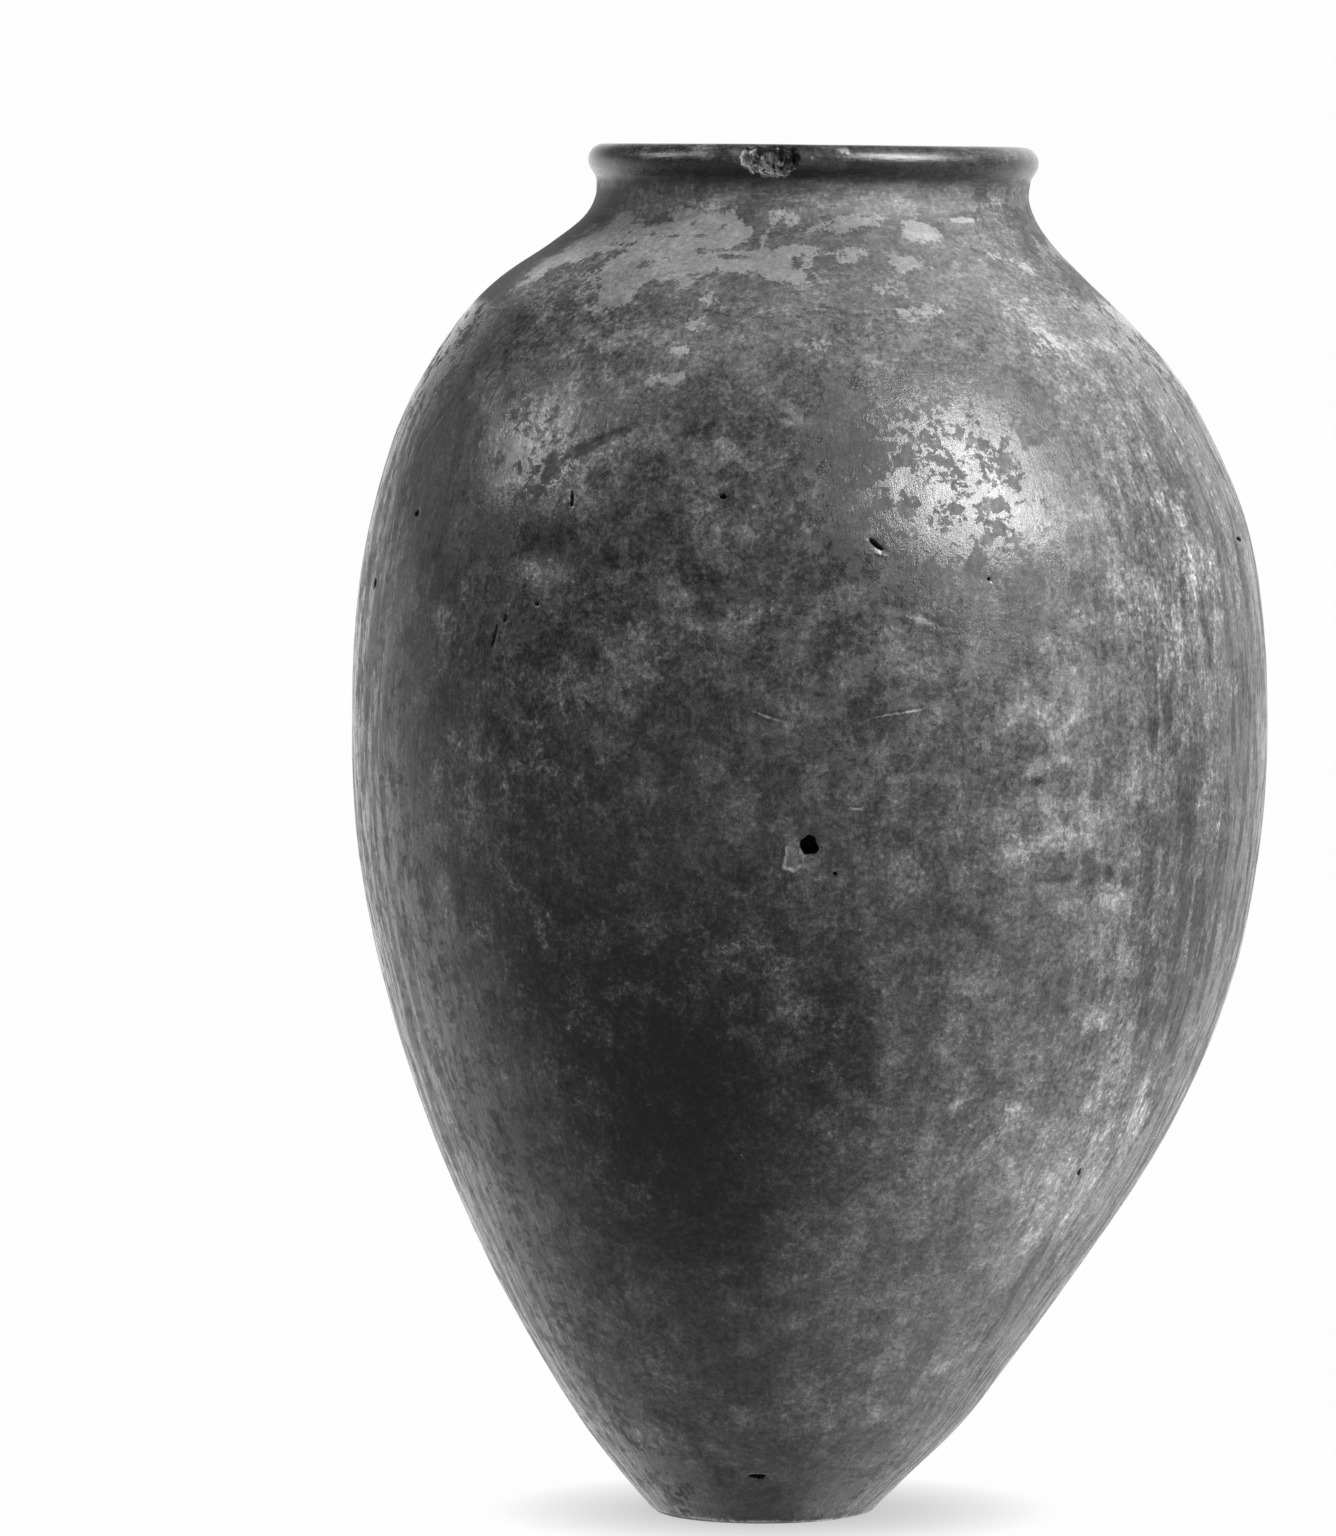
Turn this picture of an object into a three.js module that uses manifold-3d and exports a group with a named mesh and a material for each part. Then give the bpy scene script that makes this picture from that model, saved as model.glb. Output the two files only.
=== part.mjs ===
// Coil-built ovoid jar with a rolled lip and a small flat foot, under a burnished slip coat.
// Millimetres, +Z up. The origin is on the surface that the jar stands on, at the middle of its
// bounding box. The front is -Y, and +X is on the right.
import * as THREE from 'three';
import { mergeVertices } from 'three/addons/utils/BufferGeometryUtils.js';
import Module from 'manifold-3d';

const wasm = await Module();
wasm.setup();

// Outer wall, foot to neck: height, reach to the left and reach to the right of the axis
const WALL_STATIONS = [
  [1.5, 36.0, 15.0],
  [8, 41.4, 21.9],
  [20, 50.4, 34.4],
  [36, 60.4, 46.7],
  [58, 72.0, 62.2],
  [85, 83.9, 79.8],
  [115, 93.4, 92.6],
  [147, 100.1, 99.7],
  [172, 101.8, 101.8],
  [200, 100.5, 100.5],
  [222, 97.2, 96.6],
  [240, 92.1, 88.7],
  [254, 85.4, 80.3],
  [265, 78.0, 70.9],
  [274, 69.2, 61.9],
  [282, 57.2, 54.2],
  [288, 49.8, 50.0],
  [292.5, 47.4, 48.5],
  [296.5, 47.3, 48.9],
];
const JAR_HEIGHT = 304;

// Foot
const REST_RADIUS = 23.4;
const FOOT_EDGE_RADIUS = 24.6;
const FOOT_EDGE_HEIGHT = 0.6;
const FLOOR_THICKNESS = 11;

// Rolled lip: two round edges joined by a flat top
const LIP_ROUNDING = 3.6;
const LIP_OUTER_CENTRE = 46.3;
const LIP_INNER_CENTRE = 44.8;
const LIP_START_ANGLE = -35;
const LIP_OUTER_STEPS = 6;
const LIP_INNER_STEPS = 4;

// The lip's plane dips to the right, and the dip fades out down the shoulder
const LIP_DIP = 0.010;
const DIP_FROM = 262;
const DIP_TO = 286;

// Layers through the wall, measured inwards from the outer face
const SLIP_THICKNESS = 0.5;
const GAP = 0.3;
const CLAY_FRONT = SLIP_THICKNESS + GAP;
const CLAY_THICKNESS = 7;
const CLAY_BACK = CLAY_FRONT + CLAY_THICKNESS;
const INNER_SLIP_BACK = CLAY_BACK + GAP;
const INNER_SLIP_FRONT = INNER_SLIP_BACK + SLIP_THICKNESS;

// Coils and the seams between them. Each coil laps down behind the one below it.
const COIL_COUNT = 8;
const FOOT_SEAM_HEIGHT = 15;
const SHOULDER_SEAM_HEIGHT = 268;
const RIM_SEAM_HEIGHT = 289;
const SEAM_LAP = 7;
const SEAM_GAP = 0.4;

// Facets round the jar, and steps up each piece
const SEGMENTS = 40;
const FOOT_STEPS = 2;
const COIL_STEPS = 2;
const NECK_STEPS = 7;
const RIM_STEPS = 2;
const INNER_SLIP_STEPS = 4;

// Chip out of the front of the lip. Angles run from the front to the right, in degrees.
const CHIP = { angle: -12, radius: 51.4, height: 301.4, wide: 15.5, deep: 4.5, tall: 10.5 };

// Pits and slits in the surface: where they are, and how large
const PITS = [
  { angle: -0.8, height: 155.6, wide: 4.4, tall: 4.4, deep: 3.6, lean: 0 },
  { angle: -32.7, height: 228.3, wide: 1.3, tall: 3.2, deep: 1.8, lean: 0 },
  { angle: -43.1, height: 198.7, wide: 1.3, tall: 5.4, deep: 1.8, lean: 13 },
  { angle: 7.6, height: 219.3, wide: 1.3, tall: 4.0, deep: 1.8, lean: -48 },
  { angle: 74.3, height: 217.8, wide: 4.6, tall: 1.3, deep: 1.8, lean: 8 },
  { angle: -4.2, height: 11.8, wide: 3.4, tall: 1.9, deep: 2.2, lean: 0 },
];
const HOLLOW_BEHIND_MAIN_PIT = { angle: -0.8, height: 156, wide: 6.4, tall: 6, deep: 2.3, inward: 3.4 };
const CUTTER_SIDES = 10;
const CUTTER_RINGS = 6;

const CLAY_COLOUR = 0x909090;
const CLAY_ROUGHNESS = 0.85;
const SLIP_COLOUR = 0x6a6a6a;
const SLIP_ROUGHNESS = 0.38;

// Wall line in section: x is the radius and y the height
const wallLine = new THREE.CatmullRomCurve3(
  WALL_STATIONS.map(([height, left, right]) => new THREE.Vector3((left + right) / 2, height, 0)),
  false,
  'centripetal',
);
const wallLength = wallLine.getLength();

// Middle of the wall at each height: x is its offset from the axis and y the height
const middleLine = new THREE.CatmullRomCurve3(
  WALL_STATIONS.map(([height, left, right]) => new THREE.Vector3((right - left) / 2, height, 0)),
  false,
  'centripetal',
).getSpacedPoints(200);

function middleAt(height) {
  const above = middleLine.findIndex((point) => point.y > height);
  if (above === 0) return middleLine[0].x;
  if (above < 0) return middleLine.at(-1).x;
  const low = middleLine[above - 1];
  const high = middleLine[above];
  return THREE.MathUtils.mapLinear(height, low.y, high.y, low.x, high.x);
}

// Point in section at a distance up the wall line, some depth in from the outer face
function wallPoint(distance, depth) {
  const place = wallLine.getPointAt(distance / wallLength);
  const along = wallLine.getTangentAt(distance / wallLength);
  return new THREE.Vector2(place.x - depth * along.y, place.y + depth * along.x);
}

function distanceAtHeight(height) {
  let low = 0;
  let high = wallLength;
  while (high - low > 0.01) {
    const middle = (low + high) / 2;
    if (wallLine.getPointAt(middle / wallLength).y < height) low = middle;
    else high = middle;
  }
  return low;
}

function evenSteps(from, to, count) {
  return Array.from({ length: count + 1 }, (_, step) => THREE.MathUtils.lerp(from, to, step / count));
}

function wallPoints(distances, depth) {
  return distances.map((distance) => wallPoint(distance, depth));
}

// Lip in section, from the outside over the top to the inside
function lipPoints(depth) {
  const rounding = LIP_ROUNDING - depth;
  const centreHeight = JAR_HEIGHT - LIP_ROUNDING;
  const arc = (centre, angles) => angles.map((degrees) => {
    const angle = THREE.MathUtils.degToRad(degrees);
    return new THREE.Vector2(
      centre + rounding * Math.cos(angle),
      centreHeight + rounding * Math.sin(angle),
    );
  });
  return [
    ...arc(LIP_OUTER_CENTRE, evenSteps(LIP_START_ANGLE, 90, LIP_OUTER_STEPS)),
    ...arc(LIP_INNER_CENTRE, evenSteps(90, 180, LIP_INNER_STEPS)),
  ];
}

// Turns a section about the axis. The section runs up the outside and down the inside.
function turned(section) {
  const lathe = new THREE.LatheGeometry(section, SEGMENTS);
  lathe.rotateX(Math.PI / 2);
  return solidOf(lathe);
}

function solidOf(geometry) {
  geometry.deleteAttribute('normal');
  geometry.deleteAttribute('uv');
  const merged = mergeVertices(geometry, 1e-4);
  const corners = merged.index.array;
  const triangles = [];
  for (let first = 0; first < corners.length; first += 3) {
    const [a, b, c] = corners.slice(first, first + 3);
    if (a !== b && b !== c && c !== a) triangles.push(a, b, c);
  }
  return new wasm.Manifold(new wasm.Mesh({
    numProp: 3,
    vertProperties: new Float32Array(merged.attributes.position.array),
    triVerts: new Uint32Array(triangles),
  }));
}

// Egg-shaped cutter facing out of the jar, turned by its angle round the axis. Its middle is at the
// given radius, and it reaches deep inwards from there.
function cutter({ angle, wide, tall, deep, lean = 0 }, radius, height) {
  const shape = new THREE.SphereGeometry(1, CUTTER_SIDES, CUTTER_RINGS);
  shape.scale(wide / 2, deep, tall / 2);
  shape.rotateY(THREE.MathUtils.degToRad(lean));
  shape.translate(0, -radius, 0);
  shape.rotateZ(THREE.MathUtils.degToRad(angle));
  shape.translate(0, 0, height);
  return solidOf(shape);
}

function pitCutter(pit) {
  const { x: radius } = wallPoint(distanceAtHeight(pit.height), pit.inward ?? 0);
  return cutter(pit, radius, pit.height);
}

// Leans the jar to its hand-built shape: the wall's middle wanders and the lip dips to the right
function leaned(solid) {
  const { vertProperties, triVerts, numProp } = solid.getMesh();
  const geometry = new THREE.BufferGeometry();
  const places = new THREE.BufferAttribute(new Float32Array(vertProperties), numProp);
  for (let index = 0; index < places.count; index += 1) {
    const height = places.getZ(index);
    const dip = LIP_DIP * THREE.MathUtils.smoothstep(height, DIP_FROM, DIP_TO);
    const across = places.getX(index) + middleAt(height);
    places.setXYZ(index, across, places.getY(index), height - dip * across);
  }
  geometry.setAttribute('position', places);
  geometry.setIndex(new THREE.BufferAttribute(new Uint32Array(triVerts), 1));
  geometry.computeVertexNormals();
  return geometry;
}

function piece(name, solid, color, roughness) {
  const material = new THREE.MeshStandardMaterial({ color, roughness, metalness: 0 });
  const mesh = new THREE.Mesh(leaned(solid), material);
  mesh.name = name;
  return mesh;
}

const footSeam = distanceAtHeight(FOOT_SEAM_HEIGHT);
const shoulderSeam = distanceAtHeight(SHOULDER_SEAM_HEIGHT);
const rimSeam = distanceAtHeight(RIM_SEAM_HEIGHT);
const coilSeams = evenSteps(footSeam, shoulderSeam, COIL_COUNT);
const pitCutters = [...PITS, HOLLOW_BEHIND_MAIN_PIT].map(pitCutter);
const chip = cutter(CHIP, CHIP.radius, CHIP.height);

function pitted(solid) {
  return pitCutters.reduce((left, pit) => left.subtract(pit), solid);
}

function footDisc() {
  const front = wallPoints(evenSteps(0, footSeam - SEAM_GAP / 2, FOOT_STEPS), CLAY_FRONT);
  const floorEdge = wallPoint(footSeam - SEAM_LAP - SEAM_GAP / 2, CLAY_BACK);
  const floor = evenSteps(1, 0, 3).map((share) => new THREE.Vector2(
    floorEdge.x * share,
    THREE.MathUtils.lerp(FLOOR_THICKNESS, floorEdge.y, share ** 2),
  ));
  const section = [
    new THREE.Vector2(0, 0),
    new THREE.Vector2(REST_RADIUS, 0),
    new THREE.Vector2(FOOT_EDGE_RADIUS, FOOT_EDGE_HEIGHT),
    ...front,
    ...floor,
  ];
  return pitted(turned(section));
}

// One ring of clay between two seams
function clayRing(lowSeam, highSeam, steps) {
  const distances = evenSteps(lowSeam + SEAM_GAP / 2, highSeam - SEAM_GAP / 2, steps);
  const front = wallPoints(distances, CLAY_FRONT);
  const back = wallPoints(distances.map((distance) => distance - SEAM_LAP), CLAY_BACK).reverse();
  return pitted(turned([...front, ...back, front[0]]));
}

function rimRoll() {
  const front = wallPoints(evenSteps(rimSeam + SEAM_GAP / 2, wallLength, RIM_STEPS), CLAY_FRONT);
  const backLow = rimSeam - SEAM_LAP + SEAM_GAP / 2;
  const back = wallPoints(evenSteps(wallLength, backLow, RIM_STEPS + 1), CLAY_BACK);
  return turned([...front, ...lipPoints(CLAY_FRONT), ...back, front[0]]).subtract(chip);
}

// Thin coat over the outside and the lip, and a little way down the inside of the neck
function slipCoat() {
  const distances = [
    ...evenSteps(0, footSeam, FOOT_STEPS),
    ...evenSteps(footSeam, shoulderSeam, COIL_COUNT * COIL_STEPS).slice(1),
    ...evenSteps(shoulderSeam, rimSeam, NECK_STEPS).slice(1),
    ...evenSteps(rimSeam, wallLength, RIM_STEPS).slice(1),
  ];
  const insideSeam = rimSeam - SEAM_LAP;
  const inside = [
    ...evenSteps(wallLength, insideSeam, RIM_STEPS + 1),
    ...evenSteps(insideSeam, shoulderSeam - SEAM_LAP, NECK_STEPS).slice(1, INNER_SLIP_STEPS + 1),
  ];
  const face = [
    ...wallPoints(distances, 0),
    ...lipPoints(0),
    ...wallPoints(inside, INNER_SLIP_FRONT),
  ];
  const back = [
    ...wallPoints(distances, SLIP_THICKNESS),
    ...lipPoints(SLIP_THICKNESS),
    ...wallPoints(inside, INNER_SLIP_BACK),
  ].reverse();
  return pitted(turned([...face, ...back, face[0]])).subtract(chip);
}

const jar = new THREE.Group();
jar.add(piece('foot_disc', footDisc(), CLAY_COLOUR, CLAY_ROUGHNESS));
for (let coil = 1; coil <= COIL_COUNT; coil += 1) {
  const ring = clayRing(coilSeams[coil - 1], coilSeams[coil], COIL_STEPS);
  jar.add(piece(`wall_coil_${coil}`, ring, CLAY_COLOUR, CLAY_ROUGHNESS));
}
const neckRing = clayRing(shoulderSeam, rimSeam, NECK_STEPS);
jar.add(piece('neck_collar', neckRing, CLAY_COLOUR, CLAY_ROUGHNESS));
jar.add(piece('rim_roll', rimRoll(), CLAY_COLOUR, CLAY_ROUGHNESS));
jar.add(piece('slip_coat', slipCoat(), SLIP_COLOUR, SLIP_ROUGHNESS));

export default jar;
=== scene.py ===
"""Looks of the ovoid jar: hand-built clay under a burnished slip, in soft light on a pale floor.

Sizes are in millimetres, and MM turns them into Blender's metres. Angles are in degrees and run from
the front (-Y) to the right (+X). Distances run up the wall from the foot.
"""
import math
from collections import namedtuple

import bmesh
import bpy
import numpy as np
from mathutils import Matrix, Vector, noise


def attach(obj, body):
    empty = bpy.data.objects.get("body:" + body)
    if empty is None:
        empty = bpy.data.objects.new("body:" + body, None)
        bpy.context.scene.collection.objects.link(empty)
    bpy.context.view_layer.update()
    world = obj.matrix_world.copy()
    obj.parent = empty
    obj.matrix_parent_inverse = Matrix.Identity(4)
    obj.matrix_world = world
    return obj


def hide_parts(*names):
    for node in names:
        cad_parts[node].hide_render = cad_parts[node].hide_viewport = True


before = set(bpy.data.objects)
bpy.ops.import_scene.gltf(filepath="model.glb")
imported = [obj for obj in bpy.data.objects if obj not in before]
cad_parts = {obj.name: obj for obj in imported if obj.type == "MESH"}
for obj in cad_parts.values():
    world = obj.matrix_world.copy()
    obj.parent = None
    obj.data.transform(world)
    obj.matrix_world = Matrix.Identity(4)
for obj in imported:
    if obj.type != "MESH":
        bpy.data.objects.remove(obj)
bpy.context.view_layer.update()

MM = 0.001

# Outer wall, foot to neck, as in the CAD: height, reach to the left and reach to the right
WALL_STATIONS = [
    (1.5, 36.0, 15.0), (8, 41.4, 21.9), (20, 50.4, 34.4), (36, 60.4, 46.7), (58, 72.0, 62.2),
    (85, 83.9, 79.8), (115, 93.4, 92.6), (147, 100.1, 99.7), (172, 101.8, 101.8),
    (200, 100.5, 100.5), (222, 97.2, 96.6), (240, 92.1, 88.7), (254, 85.4, 80.3), (265, 78.0, 70.9),
    (274, 69.2, 61.9), (282, 57.2, 54.2), (288, 49.8, 50.0), (292.5, 47.4, 48.5), (296.5, 47.3, 48.9),
]
JAR_HEIGHT = 304
FOOT_ROUNDING = [(22.9, 0.12), (24.0, 0.3), (24.9, 0.8)]
REST_RADIUS = 23.4
REST_EDGE = (24.2, 0.75)
FLOOR_THICKNESS = 11

# Rolled lip: two round edges joined by a flat top
LIP_ROUNDING = 3.6
LIP_OUTER_CENTRE = 46.3
LIP_INNER_CENTRE = 44.8
LIP_START_ANGLE = -35

# The lip's plane dips to the right, and the dip fades out down the shoulder
LIP_DIP = 0.010
DIP_FADE = (262, 286)

# Layers through the wall, measured inwards from the outer face
SLIP_THICKNESS = 0.5
CLAY_FRONT = 0.55
CLAY_BACK = 7.8
INNER_SLIP_FRONT = 8.6
INNER_SLIP_LENGTH = 34
CORNER_SOFTENING = 0.7

# Coils and the seams between them. Each coil laps down behind the one below it.
COIL_COUNT = 8
FOOT_SEAM_HEIGHT = 15
SHOULDER_SEAM_HEIGHT = 268
RIM_SEAM_HEIGHT = 289
SEAM_LAP = 7
SEAM_GAP = 0.3
SEAM_ROLL = 0.5
SEAM_ROLL_WIDTH = 1.6

# Mesh grid: cells round the jar, then how tall they are in each part
COLUMNS = 256
BODY_STEP = 2.3
NECK_STEP = 1.1
LIP_STEP = 0.6
INSIDE_STEP = 1.8
FOOT_STEP = 0.8
REST_STEP = 2.5
FOOT_WALL_STEP = 1.0
FLOOR_STEP = 2.0
FOOT_ZONE = 6
LIP_ZONE = 4
INSIDE_FROM = 8
HALVINGS = 4
SHARP_ANGLE = 50

# Stretched noise lies on a plain drum of this radius, so that it follows the wall up and round
STROKE_RADIUS = 80

# Unevenness of the wall: height of the waves, their size, octaves, seed and squeezes round and up, and
# the share of them that is left at the neck
WALL_WAVES = [(0.42, 48, 2, 0, 1, 1, 0.25), (0.08, 15, 3, 7, 1, 0.6, 0.25), (0.03, 6, 2, 3, 0.4, 1, 1)]
WAVES_FADE = (268, 290)
INSIDE_RELIEF = 0.25

# Finger marks inside the wall: height to a radian, depth and drift of the ridges, then the size, octaves
# and seed of the waves in them, and the depth of each
FINGER_RADIAN = 1.9
FINGER_DEPTH = 0.22
FINGER_DRIFT = 4
DRIFT_WAVES = (40, 1, 5)
FINGER_WAVES = [((26, 2, 9), 0.5), ((3.5, 2, 2), 0.15)]

# Swirl on the floor inside, and the hollow under the foot
SWIRL_DEPTH = 0.35
SWIRL_RADIAN = 1.7
SWIRL_WAVES = (20, 1, 4)
SWIRL_START = (9, 14)
SWIRL_MIDDLE = (0, 6)
HOLLOW_DEPTH = 0.5
HOLLOW_FADE = (8, 20)
HOLLOW_EDGE = (21, 23)
SOLE_GRAIN = 0.12
SOLE_WAVES = (4, 3, 6)

# Holes in the surface: lean turns the top to the right, and square is the outline's power
Pit = namedtuple("Pit", "angle height wide tall deep lean square ragged")
PITS = [Pit(*row) for row in [
    (-0.8, 155.3, 4.1, 4.1, 5.6, -24, 3, 0.13), (-32.7, 228.3, 1.15, 3.6, 2.4, -4, 2.2, 0.14),
    (-11.6, 229.4, 1.6, 1.5, 1.8, 20, 2, 0.2), (-62.8, 224.1, 2.2, 1.4, 1.6, 0, 2, 0.25),
    (-73.9, 208.2, 1.5, 2.4, 1.6, 0, 2, 0.15), (-41.5, 202.6, 1.2, 2.1, 1.8, 30, 2, 0.15),
    (-43.1, 198.7, 1.2, 5.4, 2.4, 13, 2.2, 0.12), (-36.6, 205.9, 1.2, 1.1, 1.4, 0, 2, 0.15),
    (7.6, 219.3, 1.2, 4, 2.2, -48, 2.6, 0.12), (21.9, 211.7, 0.8, 0.8, 1, 0, 2, 0.1),
    (74.3, 217.8, 4.6, 1.1, 1.8, 8, 2.2, 0.15), (49, 81, 1.2, 1.9, 1.4, -25, 2, 0.3),
    (-4.2, 11.8, 3.4, 1.8, 2.4, 0, 2, 0.3), (2.4, 149.4, 0.9, 0.9, 1.1, 0, 2, 0.2),
]]
PIT_CELL = 0.24
PIT_MARGIN = 0.6
PIT_ROUNDING = 0.12
PIT_ROUNDING_REACH = 0.25
PIT_FADE = (0.55, 1.12)
SHADED_DEPTH = (0.05, 0.8)

# Flake broken out beside the largest pit. Its fades, lip and edge lie at shares of its reach.
SPALL = Pit(-2.7, 152.6, 3.9, 5.2, 0.22, 16, 2.4, 0.3)
SPALL_FADE = (0.7, 1)
SPALL_LIP = 0.15
SPALL_LIP_PLACE = (1.1, 0.12)
SPALL_EDGE_PLACE = (0.95, 0.14)
SPALL_FLOOR_FADE = (0.8, 1)
SPALL_FLOOR_TONE = 0.35

# Chip out of the front of the lip: overlapping bites, all seen along one direction, outwards and up
Bite = namedtuple("Bite", "angle radius height wide deep tall")
BITES = [Bite(*row) for row in [
    (-14.9, 51.8, 300.9, 8, 4.3, 9.6), (-10.2, 51.6, 300.4, 9, 4.9, 10), (-18, 51.5, 301.2, 3.4, 3.2, 8.6),
    (-12.9, 50.6, 297.3, 4.2, 2.6, 3), (-8.4, 50.7, 297.4, 4.4, 2.7, 3), (-6, 51.3, 301.2, 4, 3.6, 7),
]]
CHIP_OUT = (0.94, 0.34)
CHIP_MIDDLE = -11.8
CHIP_SPREAD = 25
CHIP_REACH = 10
CHIP_CELL = 0.24
CHIP_SNAP = 0.3
CHIP_DEEPEST = 3.2
CHIP_ROUGHNESS = 0.4
CHIP_RAGGEDNESS = 0.34
CHIP_RADIUS = 50
CHIP_EDGE_WAVES = (1.5, 3, 21)
FIBRE_WAVES = (1.2, 4, 11)
LUMP_WAVES = (2.6, 3, 31)
CHIP_BROKEN = (0, 0.3)
FAR_OUTSIDE = -9

# Painted shade in the right end of the chip, whose wall there faces away from the key lamp
CHIP_SHADE_ANGLES = (-8.5, -6)
CHIP_SHADE_HEIGHTS = (298, 300)
CHIP_SHADE_STRENGTH = 0.75

# Hollows and swellings left by the hands that shaped it: half-sizes across and up, then depth inwards
Dent = namedtuple("Dent", "angle height wide tall lean deep")
DENTS = [Dent(*row) for row in [
    (-36, 216, 8.5, 6, 8, 0.75), (-52, 222, 12, 7, 35, 0.3), (-20, 222, 10, 12, 20, 0.25),
    (-22, 203, 12, 14, 0, 0.35), (13, 231.5, 5, 3.2, -60, 0.22), (28, 168, 14, 10, 30, 0.25),
    (31.5, 147.2, 5, 1.6, 4, 0.4), (-9.6, 147.8, 5, 2.4, 20, 0.3), (46, 190, 16, 12, 0, -0.3),
    (-52, 190, 14, 20, 0, -0.25), (120, 200, 18, 12, 25, 0.5), (165, 150, 14, 20, -15, 0.45),
    (-140, 225, 16, 10, 30, 0.5), (-115, 120, 18, 14, 0, 0.4), (-170, 70, 16, 14, 10, -0.4),
]]

# Lines drawn on the wall: places as (angle, height), then width, depth of the groove, height of the
# burr on its lower side, and how pale the line is
Mark = namedtuple("Mark", "places wide deep burr pale")
MARKS = [Mark(*row) for row in [
    # The long diagonal groove's dark line (paleness below zero) is painted shade in the groove
    ([(-36.6, 232), (-34.6, 235.6), (-32.6, 238.3), (-28.9, 240.9), (-25.5, 243.1), (-22, 247)],
     1.6, 0.32, 0, -0.8),
    ([(-7.4, 184.1), (-5.6, 182.9), (-4.2, 182.2)], 0.45, 0.35, 0.22, 0.5),
    ([(5.4, 181.6), (7.2, 183), (12.8, 184.5)], 0.4, 0.22, 0.16, 0.6),
    ([(4.2, 163.5), (5.8, 163.6)], 0.45, 0.25, 0.15, 0.7),
    ([(-12, 228.9), (-13.2, 227.2), (-15.2, 226.3)], 0.8, 0.1, 0.18, 1),
    ([(-12.1, 255.7), (-9.6, 249.8)], 0.5, 0.12, 0.08, 0.4),
    ([(8.6, 205.8), (12, 204.4), (15.9, 201.6)], 1.2, 0.06, 0.05, 0.35),
    ([(46.5, 161), (50, 162.2), (54, 163.5)], 0.8, 0.12, 0.08, 0.5),
    ([(-45.2, 178.2), (-42.6, 182.6)], 1.3, 0.04, 0, 0.55),
    ([(-45.4, 181.4), (-42.9, 178.9)], 1.1, 0.04, 0, 0.45),
    ([(6.8, 217.6), (7.5, 218), (8.3, 217.4)], 0.5, 0, 0.12, 0.8),
    ([(-67, 238), (-63, 246), (-59.5, 252)], 0.9, 0.1, 0, 0.25),
]]
MARK_CELL = 0.35
MARK_MARGIN = 1.2
GROOVE_SHARPNESS = 1.6
BURR_SHARPNESS = 1.4

# Soft ridge under the long diagonal groove
RIDGE = Mark([(-35.5, 231), (-29.3, 238), (-23, 244)], 7, -0.34, 0, 0.35)
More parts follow.
